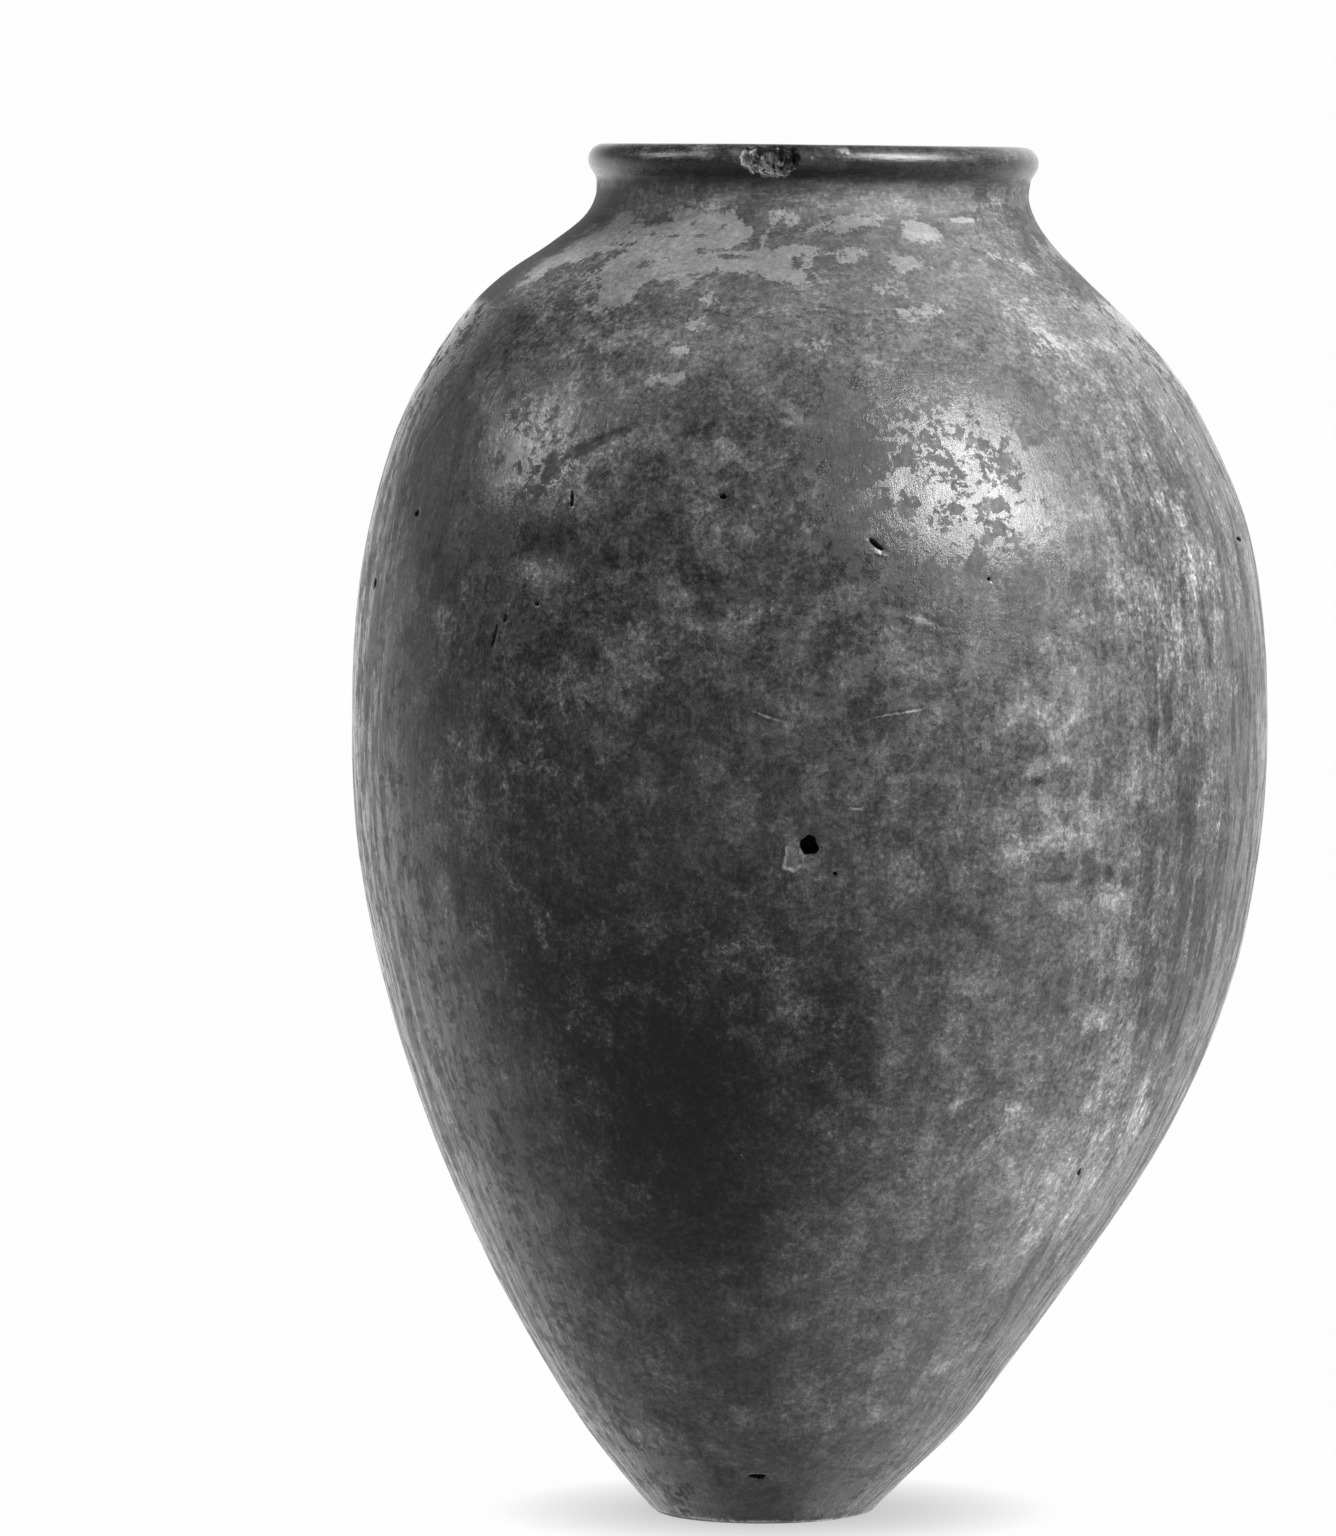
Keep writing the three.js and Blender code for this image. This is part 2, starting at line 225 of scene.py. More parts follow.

# Worn and sooted patches, with a few of painted light and painted shade: angle, height, half-sizes across and
# up, then pale above zero and dark below it, and the lean of the top to the right
Patch = namedtuple("Patch", "angle height wide tall tone lean", defaults=[0])
PATCHES = [Patch(*row) for row in [
    # Left of the front, from the shoulder down
    (-60.5, 206.5, 6, 1.8, 0.7, 40), (-53.5, 203.2, 6, 2, 0.75), (-49, 207, 3, 3.4, 0.7),
    # The dark and pale pair at -37 degrees over the dent at (-36, 216) is painted shade on its upper slope
    # and painted light on its lower slope
    (-52, 193.2, 4.2, 6.5, 0.6, 10), (-36.7, 219.7, 9.5, 4.8, -0.8), (-37, 212.9, 7.4, 2.8, 1),
    (-29.2, 236.6, 11.5, 3, 1, -34), (-38, 231.3, 7, 1.6, 0.45, 7), (-10.5, 239.3, 5.3, 1.6, 0.75, 37),
    (-16, 238, 4, 3.6, 0.4), (-26.7, 223.2, 3.3, 1.1, 0.6, 33), (-31.2, 224, 2.4, 1.4, 0.5, 27),
    (-16, 225.2, 2.4, 2.4, 0.95), (-20, 217.4, 1.8, 1.1, 0.5, -19), (-8.8, 216, 2.6, 3.4, 0.55),
    (-12, 223.5, 1.1, 2.6, 0.5), (-25, 217, 1.4, 4.8, 0.4), (-27.7, 213.6, 3.8, 2.6, 0.4),
    (-20.5, 234.9, 5.7, 3.2, -0.8, -20), (-14.8, 243.4, 5.7, 2.8, -0.6), (-26.4, 215.8, 8.5, 2.8, -0.7),
    (-30.4, 209.3, 9.9, 2.1, -0.5), (-25.5, 226.4, 5.2, 3, -0.6), (-19.8, 223.3, 4.4, 3, -0.6),
    (-14.4, 211.8, 5.3, 2.6, -0.6), (-41.3, 229, 6.8, 1.6, -0.6, 8), (-10.6, 234, 5.2, 2.2, -0.5, -10),
    (-8, 242, 9, 3, -0.4, 10), (-12, 257, 14, 4, -0.3), (-22, 195.5, 12, 9, 0.45), (-15, 199, 6, 10, 0.4),
    (-9, 203, 10, 7, 0.35), (-12, 183, 9, 8, -0.2), (-48.2, 160.7, 5, 5, 0.75),
    (-52.5, 153.5, 4.4, 6, 0.6, 15), (-53.3, 140, 3.4, 10, 0.55), (-40.9, 155.6, 1.6, 2, 0.6),
    (-32.6, 151.7, 2.4, 2, 0.5), (-25.6, 166.9, 1.6, 2.6, 0.6, 30), (-23.6, 162.3, 1.8, 1.4, 0.5, 30),
    (-9.6, 147.8, 3.6, 1.2, -0.9, 20),
    # Between the highlights
    (6.6, 235, 4.7, 4.5, -0.6), (8.9, 244.5, 3.5, 2.4, -0.5), (1.9, 219.3, 5, 3, -0.6),
    (13.7, 227.7, 3.1, 1.8, -1, 35), (15.4, 225.7, 1.8, 1.5, -0.9),
    # Right of the front, from the shoulder down
    (56, 228, 8, 10, 0.45), (46, 205.4, 9, 5, 0.85, -14), (49.5, 197.6, 2.9, 5.6, 0.65),
    (47.9, 191.3, 2.7, 3, 1), (66, 188.9, 2.4, 2.6, 0.8), (51.4, 176, 2.2, 4.8, 0.6),
    (41.5, 202.4, 3.5, 2.6, 0.7), (34, 198.5, 3.7, 5, 0.55), (51.8, 201.8, 4.5, 8.7, 0.4),
    (51, 176, 3.4, 4.8, 0.6), (29.8, 179.5, 3.5, 3.8, 0.9), (28.2, 171.5, 4.9, 2.4, 1, -13),
    (25.4, 188.2, 4.8, 7.2, 0.5), (29.7, 198.7, 7.5, 5, 0.45), (31.4, 164.5, 7.7, 4.3, 0.55),
    (29.3, 156, 9, 5.2, 0.55), (35.5, 168.5, 3.4, 12.9, 0.45), (44, 154.9, 2.4, 4.4, 0.6),
    (24, 181.9, 1.2, 2.2, 0.8, 18), (53.2, 184.5, 2.3, 5.2, 0.5), (61, 186, 2.5, 6.5, 0.5),
    (65, 161.7, 4.7, 5.9, 0.6, -4), (65.7, 194.4, 3, 4.4, 0.4), (60, 162, 5, 18, 0.3),
    (44, 128.9, 4, 6, 0.7, 20), (41.5, 115.5, 4.4, 3.4, 0.8, 20), (31.5, 110.2, 3.6, 2.6, 0.6),
    (41.4, 36.7, 2, 1.8, 0.9), (28.4, 24, 9, 9, 0.35), (30, 92, 22, 14, 0.3), (5.7, 70, 14, 12, 0.2),
    (27.7, 168.5, 1.9, 1, -1, -18), (31.8, 147, 4.2, 1, -1, -4), (45.6, 178.5, 1.7, 4.2, -0.9),
    (48.3, 182, 1.8, 5.6, -1), (49.4, 175, 2.1, 2.2, -0.8), (59.4, 205.7, 2.8, 2.7, -0.8),
    (70.5, 191.8, 4.7, 5.7, -0.8), (59.1, 175.8, 6.5, 5.6, -0.65), (70.6, 175.4, 4.8, 8.8, -0.7),
    (45.6, 175.3, 1.6, 2.6, -0.7), (37.7, 182.3, 1.4, 2.6, -0.7), (38.5, 171.5, 1.4, 3, -0.5),
    (37.9, 196.2, 1.4, 4.3, -0.5, 8), (58.6, 198, 2, 5.2, -0.8), (57.7, 192.4, 2.2, 2.6, -0.8),
    (63.4, 194.5, 2, 4.8, -0.7), (62.2, 205.5, 4, 3.6, -0.5), (52.2, 186.7, 1.6, 4.3, -0.7),
    (62.5, 164, 10, 3, -0.45, -6), (55.4, 156, 6.7, 3, -0.4), (47, 143.8, 2.4, 7.7, -0.6, -5),
    (42.8, 146.4, 2.5, 3, -0.8), (39.3, 147.8, 1.7, 2.2, -0.8), (36.4, 146.9, 3.8, 1.8, -0.5, -16),
    (49.4, 150, 2, 5.4, -0.5), (68.5, 174.5, 2.4, 6.6, -0.7), (67.7, 196.4, 1.8, 6.7, -0.7),
    # Sides and back
    (150, 200, 18, 12, 0.6, 10), (110, 235, 16, 9, 0.5, -15), (-120, 180, 12, 18, 0.6),
    (175, 120, 12, 20, 0.5), (-100, 90, 12, 12, 0.4), (100, 60, 10, 12, 0.4), (-150, 215, 10, 3, -0.8, 20),
    (140, 165, 4, 9, -0.8), (96, 185, 2, 8, -0.7), (-92, 150, 2.4, 9, -0.6), (-168, 172, 7, 5, 0.7, 20),
    (122, 140, 5, 7, 0.6),
]]
PATCH_SMALL = 2.4
PATCH_CELL = 0.6

# How strong the pale patches are, at angles round the body: those in the shade need more, and that extra
# paleness is painted light
PALE_ROUND = [(-180, 1), (-78, 1), (-64, 2.3), (-44, 2.3), (-30, 1.2), (-15, 1), (180, 1)]

# Slip worn through on the shoulder: above zero a pale place, below zero a dark remnant inside it
BARE = [Patch(*row) for row in [
    (-27, 285.3, 15, 6.5, 0.95), (-39, 282.3, 6.7, 8.9, 0.9), (-2.6, 279, 8.2, 7.7, 0.9),
    (-14.6, 280, 9.8, 5, 0.8), (-34, 274.4, 13, 9.5, 1), (-20, 281, 13, 6, 0.8),
    (-53, 284, 8.8, 5, 0.8, -54), (-61, 278.7, 16.8, 9, 0.7, -49), (-8.2, 287.5, 2.6, 2.6, 0.8),
    (10.5, 287, 9.3, 2.7, 0.75), (27, 285.3, 6.4, 3.6, 0.8), (21.8, 278.5, 4, 3.5, 0.7),
    (10.3, 280.2, 6.6, 3.4, 0.7), (16.5, 272.5, 7.7, 3.2, 0.5), (23.4, 268.3, 8, 2.5, 0.55),
    (40, 288, 5.2, 0.8, 1), (49.5, 278.8, 9.3, 4, 0.5, 30), (43, 261, 8, 5, 0.42),
    (2.4, 260.8, 5.6, 2.7, 0.5), (-15, 271, 4.9, 3, 0.45), (-18, 265.5, 6.7, 2.9, 0.4),
    (-19, 259.8, 2.3, 1.3, 0.7), (-23.4, 252.8, 2.6, 2.5, 0.8), (-19, 253.9, 2.7, 1.7, 0.65),
    (-33.4, 258, 4, 2.7, 0.5), (-44, 269.6, 2.7, 2.7, 0.8), (-48, 266.7, 2, 1.8, 0.55),
    (85, 281, 18, 6, 0.8), (75, 268, 10, 5, 0.6, 20), (122, 283, 14, 5, 0.9), (140, 272, 12, 5, 0.7, -20),
    (172, 281, 18, 6, 0.85), (-150, 279, 14, 7, 0.9, 10), (-118, 283, 12, 5, 0.8), (-95, 276, 11, 7, 0.7),
    (-165, 263, 12, 5, 0.6), (-47, 278.8, 7.2, 4, -0.55, -13), (-27, 273, 3.7, 2.5, -1, -45),
    (-23.3, 270.4, 3.4, 2.4, -0.8, -58), (-26.2, 266, 4.9, 3, -0.8, -52), (-12, 274.3, 3.3, 1.3, -0.8, 15),
    (-5.8, 273, 3.7, 1.5, -0.8, 30), (-44.7, 267.4, 9.7, 2.6, -0.8, -45), (-12.4, 284.7, 1.1, 3.8, -0.95),
    (-7.6, 284, 1.3, 6.5, -1), (-4, 282.8, 2.8, 1, -1), (-12.2, 282, 2, 1.3, -0.95),
    (-14.8, 281.9, 1.1, 1.1, -0.8), (-34, 283.9, 4.5, 0.6, -0.9), (-38.7, 287.5, 4.5, 1.4, -0.7),
    (-26.5, 283.9, 1.7, 0.7, -1), (-30.5, 286.4, 1, 1.3, -0.8), (-21.7, 286.2, 1.6, 1.1, -0.8, -49),
    (-20, 281, 5.9, 0.8, -0.8), (-14.6, 279.6, 5.8, 0.9, -0.8), (-22.7, 280.2, 3.2, 1.9, -0.55),
    (-33, 277.4, 2, 1.7, -0.7), (-41, 283, 3.6, 1.3, -0.7, -52), (-1.9, 283.6, 1.5, 1.3, -0.9),
    (3.8, 283, 2, 1.9, -0.8), (4.9, 279, 2.4, 2, -0.8), (-1, 278.3, 1.5, 2.8, -0.8),
    (12.5, 283.6, 1.8, 2.2, -0.7), (15.3, 279.8, 4, 1.7, -0.7), (18, 285, 3.8, 1, -0.95, 26),
    (22.4, 282.3, 4.4, 1.4, -0.9, 45), (26.6, 280, 2.6, 1.5, -0.8, 27), (29, 281.4, 1, 2.9, -0.6),
    (37, 283.6, 4.2, 1, -0.95), (35.6, 278.8, 4.8, 1.1, -0.85, 53), (47.7, 283.5, 4.7, 3.7, -0.5),
    (90, 279, 4, 1.4, -0.8, 10), (128, 281, 3, 1.6, -0.8), (165, 284, 5, 1.2, -0.8),
    (-155, 276, 4, 2, -0.8, 20),
]]

# Fire clouds: dark, soft-edged blooms from the kiln
CLOUDS = [Patch(*row) for row in [
    (-18, 100, 20, 24, 1), (-23, 124, 15, 18, 0.55), (-8, 132, 12, 16, 0.45), (-14, 72, 16, 14, 0.5),
    (-26, 98, 10, 16, 0.35), (2, 110, 8, 20, 0.5), (-36, 128, 8, 14, 0.35), (150, 90, 30, 22, 0.7),
    (-95, 225, 26, 16, 0.4, 20),
]]

# Broad parts of the body that are paler or darker than the rest, as powers of e. Some are the slip's own
# tone;
# many are painted light, low on the body and up the right side, or painted shade round the glow of both
# highlights
LIGHT_AND_TONE_FADES = [Patch(*row) for row in [
    (8, 266, 110, 24, 0.5), (8, 292, 110, 5, 0.45), (-61, 276, 14, 12, 0.9), (30, 285, 16, 8, 0.28),
    (58, 185, 7, 34, 0.42), (-48, 240, 6, 16, -0.32), (-42, 205, 12, 9, 0.28), (-10, 55, 22, 22, 0.14),
    (-15.7, 201, 4, 5, 0.25), (-33, 146, 6, 7, 0.25), (48, 36, 10, 14, 0.45), (-42, 165, 12, 36, 0.06),
    (14, 213, 13, 12, -0.24), (3, 234, 8, 14, -0.15), (34, 122, 9, 10, -0.2), (9, 92, 6, 7, -0.2),
    (-10, 70, 8, 12, 0.2), (-30, 50, 12, 9, 0.2), (58, 290, 10, 6, 0.35), (-66, 268, 8, 12, 0.35),
    (-76, 212, 8, 16, 0.35), (26, 150, 12, 20, 0.2), (14, 104, 12, 15, 0.3), (62, 85, 7, 30, 0.42),
    (-22, 215, 9, 7, -0.22), (46, 276, 18, 18, 0.42), (5, 241, 10, 17, -0.35), (9, 236, 13, 20, -0.46),
    (23.5, 214, 16, 5, -0.35), (42, 148, 12, 7, -0.12), (15, 176, 8, 15, -0.22), (-30, 108, 15, 30, -0.4),
    (45, 245, 12, 13, 0.42), (6, 216, 12, 14, -0.3), (30, 204, 12, 10, -0.25), (60, 220, 22, 40, 0.48),
    (0, 24, 60, 26, 0.78), (4, 70, 20, 17, 0.66), (40, 165, 34, 110, 0.55), (36, 78, 32, 44, 0.95),
    (54, 76, 18, 24, 1), (28, 46, 26, 20, 0.35), (-36, 282, 22, 12, 0.22), (-18, 262, 14, 9, 0.28),
    (-8, 170, 34, 60, -0.28), (-8, 183, 9, 10, 0.3), (34, 176, 7, 8, 0.3), (78, 165, 22, 60, -0.25),
    (-50, 80, 26, 50, 0.16), (180, 250, 110, 26, 0.5), (-150, 140, 50, 60, 0.3), (120, 110, 40, 50, -0.25),
]]

# Where the burnish is dull (above zero) or has stayed bright (below zero)
DULL = [Patch(*row) for row in [
    (6, 240, 8, 20, 1), (24, 211, 18, 5, 0.9), (-58, 236, 10, 20, 0.7), (22, 226, 12, 13, 0.15),
    (-16, 100, 24, 30, -1),
]]

# Spots of lime or dust that sit on the surface: angle, height, size
SPOTS = [
    (20.7, 175.7, 1.2), (21.1, 128.3, 1.2), (10.9, 110.6, 1.6), (21, 98.2, 1.1), (23.7, 96.9, 1),
    (6.4, 302.8, 1.5), (7.6, 302.3, 1.1), (-1.9, 163.9, 0.8), (35, 216, 0.9), (-60, 167, 0.8),
]
SPOT_CELL = 0.3
SPOT_RISE = 0.16
SPOT_EDGE = (0.25, 0.6)

# How far the wear follows the burnishing strokes, at angles round the body and up the neck
BRUSHED_ROUND = [
    (-180, 0.7), (-110, 0.7), (-72, 0.9), (-54, 0.6), (-40, 0.3), (-25, 0.2), (28, 0.2), (38, 0.5), (56, 1),
    (80, 1), (110, 0.7), (180, 0.7),
]
BRUSHED_TOP = (238, 262)
BRUSHED_NECK = (278, 290)

# How strong the mottling is, at angles round the body, and how much stronger inside a fire cloud
CONTRAST_ROUND = [
    (-180, 1), (-100, 0.8), (-80, 0.5), (-66, 0.95), (-54, 1.6), (-35, 1.7), (-22, 1.2), (15, 1.1),
    (35, 0.92), (60, 1.5), (90, 1.5), (180, 1),
]
CONTRAST_UP = [(60, 0.8), (140, 1), (240, 1), (262, 0.8)]
CLOUD_CONTRAST = 1.4

# Noises in the slip: size, detail, roughness, distortion, and the spread that counts as 1
SLIP_NOISES = {
    "broad": (32, 3),
    "mottle": (14, 9, 0.88, 0.15, 0.045),
    "crumbs": (8, 8, 0.74, 0.2, 0.05),
    "stains": (6, 8, 0.74, 0.2, 0.05),
    "chips": (2.8, 5, 0.6, 0.3),
    "grain": (1.2, 4, 0.85),
    "flecks": (2, 4, 0.6, 0.4),
    "flakes": (2.6, 6, 0.7, 0.3),
    "fields": (9, 4, 0.6),
}

# Streaks that the burnishing left: width, squeeze along them, roughness. They turn level at the neck.
SLIP_STROKES = {
    "strokes": (3, 0.15, 0.72),
    "fine_strokes": (0.5, 0.05, 0.72),
    "wide_strokes": (4.5, 0.16, 0.55),
}
STROKES_TURN = (262, 284)
DASH_STRETCH = (0.4, 0.4, 1.4)
DASH_NOISE = (1.7, 5, 0.75)
DASH_BAND = (266, 280, 4)

# Heights of the neck and the lip where the slip changes, and of the painted shade under the rolled lip:
# starts, ends and fades
NECK_WEAR = (282, 288)
PAINTED_LIP_SHADE = (296.5, 300, 2)
NECK_DULL = (272, 293, 4)
LIP_GLOSS = (295, 298)

# Masks in the slip: the weights of a sum, then where the mask starts and where it is full
SLIP_MASKS = {
    "worn": ({"wear": 1}, 0.5, 0.7),
    "flaked": ({"wear": 0.7, "chips": 0.7}, 1.35, 1.65),
    "stained": ({"stains": 0.9, "dark": 0.8}, 0.65, 0.9),
    "pale_place": ({"pale": 1, "crumbs": 0.1, "chips": 0.06}, 0.34, 0.52),
    "dark_place": ({"dark": 1, "crumbs": 0.1, "chips": 0.06}, 0.34, 0.52),
    "streaks": ({"wide_strokes": 0.85, "strokes": 0.35, "dark": 0.4}, 0.35, 0.65),
    "dark_flecks": ({"flecks": 0.8, "crumbs": -0.4}, 0.95, 1.15),
    "pale_flecks": ({"flecks": -0.8, "crumbs": 0.4}, 0.95, 1.15),
    "bare_place": ({"bare": 1, "crumbs": 0.13, "grain": 0.05}, 0.4, 0.5),
    "dash_places": ({"dash_noise": 0.7, "crumbs": 0.5, "dash_band": 0.5}, 1.3, 1.6),
    "glossy": ({"flakes": 0.8, "fields": 0.5, "dull": -2}, -0.65, -0.35),
}
WEAR_STROKES = 0.7
WEAR = {"wear_noise": 0.8, "broad": 0.3, "pale": 1.6, "dark": -1.5, "neck": -0.8}

# Tone of the slip where it is whole, and weights of what changes it, as powers of e
INTACT_TONE = 0.039
WORN = {"worn": 0.25, "flaked": 0.19}
TEXTURE = {
    "mottle": 0.17, "grain": 0.21, "broad": 0.04, "worn_tone": 1, "stained": -0.17, "streaked": -0.58,
    "dark_flecks": -0.27, "pale_flecks": 0.2, "stroke_share": 0.08, "fine_share": 0.08, "dashes": -0.45,
}
# fade is partly the slip's own tone and partly painted light and painted shade
TONE = {
    "texture": 1, "pale_place": 0.26, "dark_place": -0.42, "pale_heart": 0.15, "dark_heart": -0.5,
    # The band under the lip is painted shade
    "fade": 1, "cloud": -1.75, "painted_lip_shade": -0.8, "bare_place": 0.84,
}
BARE_WEAR = 0.15
BARE_TEXTURE = 0.45
ADDED_TONES = {"specks": 0.08, "spall": 0.09, "lime": 0.16}
SLIP_SPECKS = (5, 0.07, 0.12)

# Gloss and bump of the slip
GLOSSY_ROUGHNESS = 0.235
MATT_ROUGHNESS = 0.66
NECK_ROUGHNESS = 0.62
LIP_ROUGHNESS = 0.27
BRUSHED_MATT = 0.8
STROKE_MATT = (-0.8, 0.8, 0.1, 0.8)
SLIP_BUMPS = {"crumbs": 0.3, "grain": 0.2, "stroke_share": 0.3, "fine_strokes": 0.12}
SLIP_BUMP_DEPTH = 0.024
SLIP_SPECULAR = 0.39

# Fired clay: noises as size, detail and roughness, then the range of tones each one gives, grit as cell,
# size and share of the cells, and what pits and seams leave of the tone: in the pits and the chip's right
# end this is painted shade
CLAY_LARGE = (22, 4)
CLAY_GRAIN = (1.4, 8, 0.7)
CLAY_WIPE = (1.1, 4)
WIPE_STRETCH = (0.1, 0.1, 1)
CLAY_TONES = (0.15, 0.21)
GRAIN_TONES = (0.6, 1.4)
WIPE_TONES = (0.9, 1.1)
PALE_GRIT = (2.2, 0.16, 0.3)
PALE_GRIT_TONE = 0.12
DARK_GRIT = (3.1, 0.2, 0.25)
DARK_GRIT_SHARE = 0.6
PAINTED_SHADE_TONE = 0.12
SEAM_TONE = 0.8
FIBRE_STRETCH = (1, 1, 0.6)
FIBRE_NOISE = (1.5, 6, 0.72, 1.6)
FRACTURE = {"fibres": 0.5, "fracture": -0.75}
CLAY_ROUGHNESS = (0.8, 0.95)
CLAY_BUMPS = {"grain": 0.7, "wipe": 0.3, "torn_fibres": 0.3}
CLAY_BUMP_DEPTH = 0.35
CLAY_SPECULAR = 0.3
NOISE_MIDDLE = (0.3, 0.7)

# Camera and light
CAMERA_PLACE = (-31.4, -2200, 298.5)
CAMERA_PITCH = 3.45
LENS = 232.45
SENSOR = 36
FAR_CLIP = 20000
WHITE = 0.985
Lamp = namedtuple("Lamp", "name azimuth elevation distance size watts")
LAMPS = [Lamp("key_lamp", 50, 36, 2000, 1100, 116), Lamp("fill_lamp", -88, 31, 2000, 280, 16)]
LIT_POINT = (0, 0, 170)
BACKDROP_LEFT = 1.75
BACKDROP_RIGHT = 1.6
BACKDROP_TILT = 0.5
BACKDROP_TURN = (-0.4, 0.5)
BACKDROP_START = (0.1, 0.7)
BACKDROP_TOP = (0.15, 0.7)
HORIZON = (-0.1, 0.02)
ROOM_BRIGHTNESS = 0.05
FLOOR_BRIGHTNESS = 0.45
FLOOR_RADIUS = 6000
CONTACT_SHADOW_REACH = 30
CONTACT_SHADE = (0.2, 0.95, 0.6, 1)


def smooth_line(stations, steps=30):
    """Centripetal Catmull-Rom line through the stations, which is the CAD's wall line."""
    knots = np.array(stations, float)
    knots = np.vstack([2 * knots[0] - knots[1], knots, 2 * knots[-1] - knots[-2]])
    share = np.linspace(0, 1, steps, endpoint=False)[:, None]
    spans = []
    for before, start, end, after in zip(knots, knots[1:], knots[2:], knots[3:]):
        legs = (start - before, end - start, after - end)
        lead, span, tail = (math.sqrt(np.linalg.norm(leg)) for leg in legs)
        leaving = (start - before) / lead - (end - before) / (lead + span) + (end - start) / span
        arriving = (end - start) / span - (after - start) / (span + tail) + (after - end) / tail
        leaving, arriving = leaving * span, arriving * span
        square = -3 * start + 3 * end - 2 * leaving - arriving
        cube = 2 * start - 2 * end + leaving + arriving
        spans.append(start + leaving * share + square * share ** 2 + cube * share ** 3)
    return np.vstack([*spans, knots[-2]])


class Line:
    """Section line of radius and height, with its outward direction, read by distance along it."""

    STEP = 0.1

    def __init__(self, points, start=0.0, softening=0.0):
        points = np.array(points, float)
        run = np.concatenate([[0], np.cumsum(np.hypot(*np.diff(points, axis=0).T))])
        even = np.linspace(0, run[-1], int(run[-1] / self.STEP) + 1)
        line = np.stack([np.interp(even, run, column) for column in points.T], 1)
        if softening:
            line = self.softened(line, int(softening / self.STEP))
        along = np.gradient(line, even, axis=0)
        along /= np.hypot(*along.T)[:, None]
        self.run = even + start
        self.line = line
        self.out = np.stack([along[:, 1], -along[:, 0]], 1)

    @staticmethod
    def softened(line, reach):
        before = 2 * line[0] - line[reach:0:-1]
        after = 2 * line[-1] - line[-2:-reach - 2:-1]
        long_line = np.vstack([before, line, after])
        weights = np.hanning(2 * reach + 3)[1:-1]
        weights /= weights.sum()
        return np.stack([np.convolve(column, weights, "valid") for column in long_line.T], 1)

    def at(self, distance, depth=0.0):
        """Radius and height at a distance along the line, some depth in from it."""
        radius, height = (np.interp(distance, self.run, column) for column in self.line.T)
        across, up = self.out_at(distance)
        return radius - depth * across, height - depth * up

    def out_at(self, distance):
        return tuple(np.interp(distance, self.run, column) for column in self.out.T)

    def distance_at(self, height):
        """Distance at which a line that only rises reaches a height."""
        return float(np.interp(height, self.line[:, 1], self.run))

    def points(self, start, end, depth=0.0):
        distances = np.linspace(start, end, max(2, int(abs(end - start) / self.STEP)))
        return np.stack(self.at(distances, depth), 1)


def arc(centre, height, radius, start, end):
    angles = np.radians(np.linspace(start, end, 40))
    return np.stack([centre + radius * np.cos(angles), height + radius * np.sin(angles)], 1)


def lip_points(depth):
    """Lip in section, from the outside over the top to the inside."""
    rounding = LIP_ROUNDING - depth
    height = JAR_HEIGHT - LIP_ROUNDING
    outer = arc(LIP_OUTER_CENTRE, height, rounding, LIP_START_ANGLE, 90)
    inner = arc(LIP_INNER_CENTRE, height, rounding, 90, 180)
    return np.vstack([outer, inner])


wall = Line(smooth_line([((left + right) / 2, height) for height, left, right in WALL_STATIONS]))
middle_line = smooth_line([((right - left) / 2, height) for height, left, right in WALL_STATIONS])
WALL_LENGTH = wall.run[-1]
FOOT_SEAM = wall.distance_at(FOOT_SEAM_HEIGHT)
SHOULDER_SEAM = wall.distance_at(SHOULDER_SEAM_HEIGHT)
RIM_SEAM = wall.distance_at(RIM_SEAM_HEIGHT)
COIL_SEAMS = np.linspace(FOOT_SEAM, SHOULDER_SEAM, COIL_COUNT + 1)


def smoothstep(value, low, high):
    share = np.clip((value - low) / (high - low), 0, 1)
    return share * share * (3 - 2 * share)


def hump(value, middle, width):
    """1 in the middle, fading out past the width on both sides."""
    return np.exp(-((value - middle) / width) ** 2)


def round_axis(angle, radius, height):
    """Places in mm round a plain upright axis."""
    turn = np.radians(angle)
    return np.stack(np.broadcast_arrays(radius * np.sin(turn), -radius * np.cos(turn), height), 1)


def placed(angle, radius, height):
    """Places in the row frame, in mm, with the jar's hand-built lean."""
    places = round_axis(angle, radius, height)
    places[:, 0] += np.interp(height, middle_line[:, 1], middle_line[:, 0])
    places[:, 2] -= LIP_DIP * smoothstep(height, *DIP_FADE) * places[:, 0]
    return places


def waves(angle, radius, height, size, octaves, seed):
    """Smooth noise of about unit height on the turned surface, with waves of the given size."""
    places = round_axis(angle, radius, height) / size + seed
    return np.array([noise.fractal(place, 1.0, 2.0, octaves) for place in places.tolist()])


def away(place, angle, height):
    """Millimetres to the right of a place and up the wall from it."""
    distance = wall.distance_at(place[1])
    radius = float(wall.at(distance)[0])
    steepness = float(wall.out_at(distance)[0])
    turn = (angle - place[0] + 180) % 360 - 180
    return np.radians(turn) * radius, (height - place[1]) / steepness


def away_from(shape, angle, height):
    """The same from the middle of a shape, with the lean of its top to the right undone."""
    right, up = away((shape.angle, shape.height), angle, height)
    turn = math.radians(shape.lean)
    return right * math.cos(turn) - up * math.sin(turn), right * math.sin(turn) + up * math.cos(turn)


def reach_of(pit, angle, height):
    """How far out a point lies in a pit's ragged outline: 0 at its middle and 1 on the edge."""
    right, up = away_from(pit, angle, height)
    across, along = np.abs(2 * right / pit.wide), np.abs(2 * up / pit.tall)
    plain = (across ** pit.square + along ** pit.square) ** (1 / pit.square)
    turn = np.arctan2(up, right)
    wobble = np.sin(2 * turn + pit.angle) * 0.4 + np.sin(3 * turn + pit.height) * 0.4
    wobble = wobble + np.sin(7 * turn + pit.wide * 9) * 0.3
    return plain / (1 + pit.ragged * wobble)


def bell(shape, angle, height):
    """1 at the middle of a dent or patch, fading to 0 past its half-sizes."""
    right, up = away_from(shape, angle, height)
    return np.exp(-((right / shape.wide) ** 2 + (up / shape.tall) ** 2))


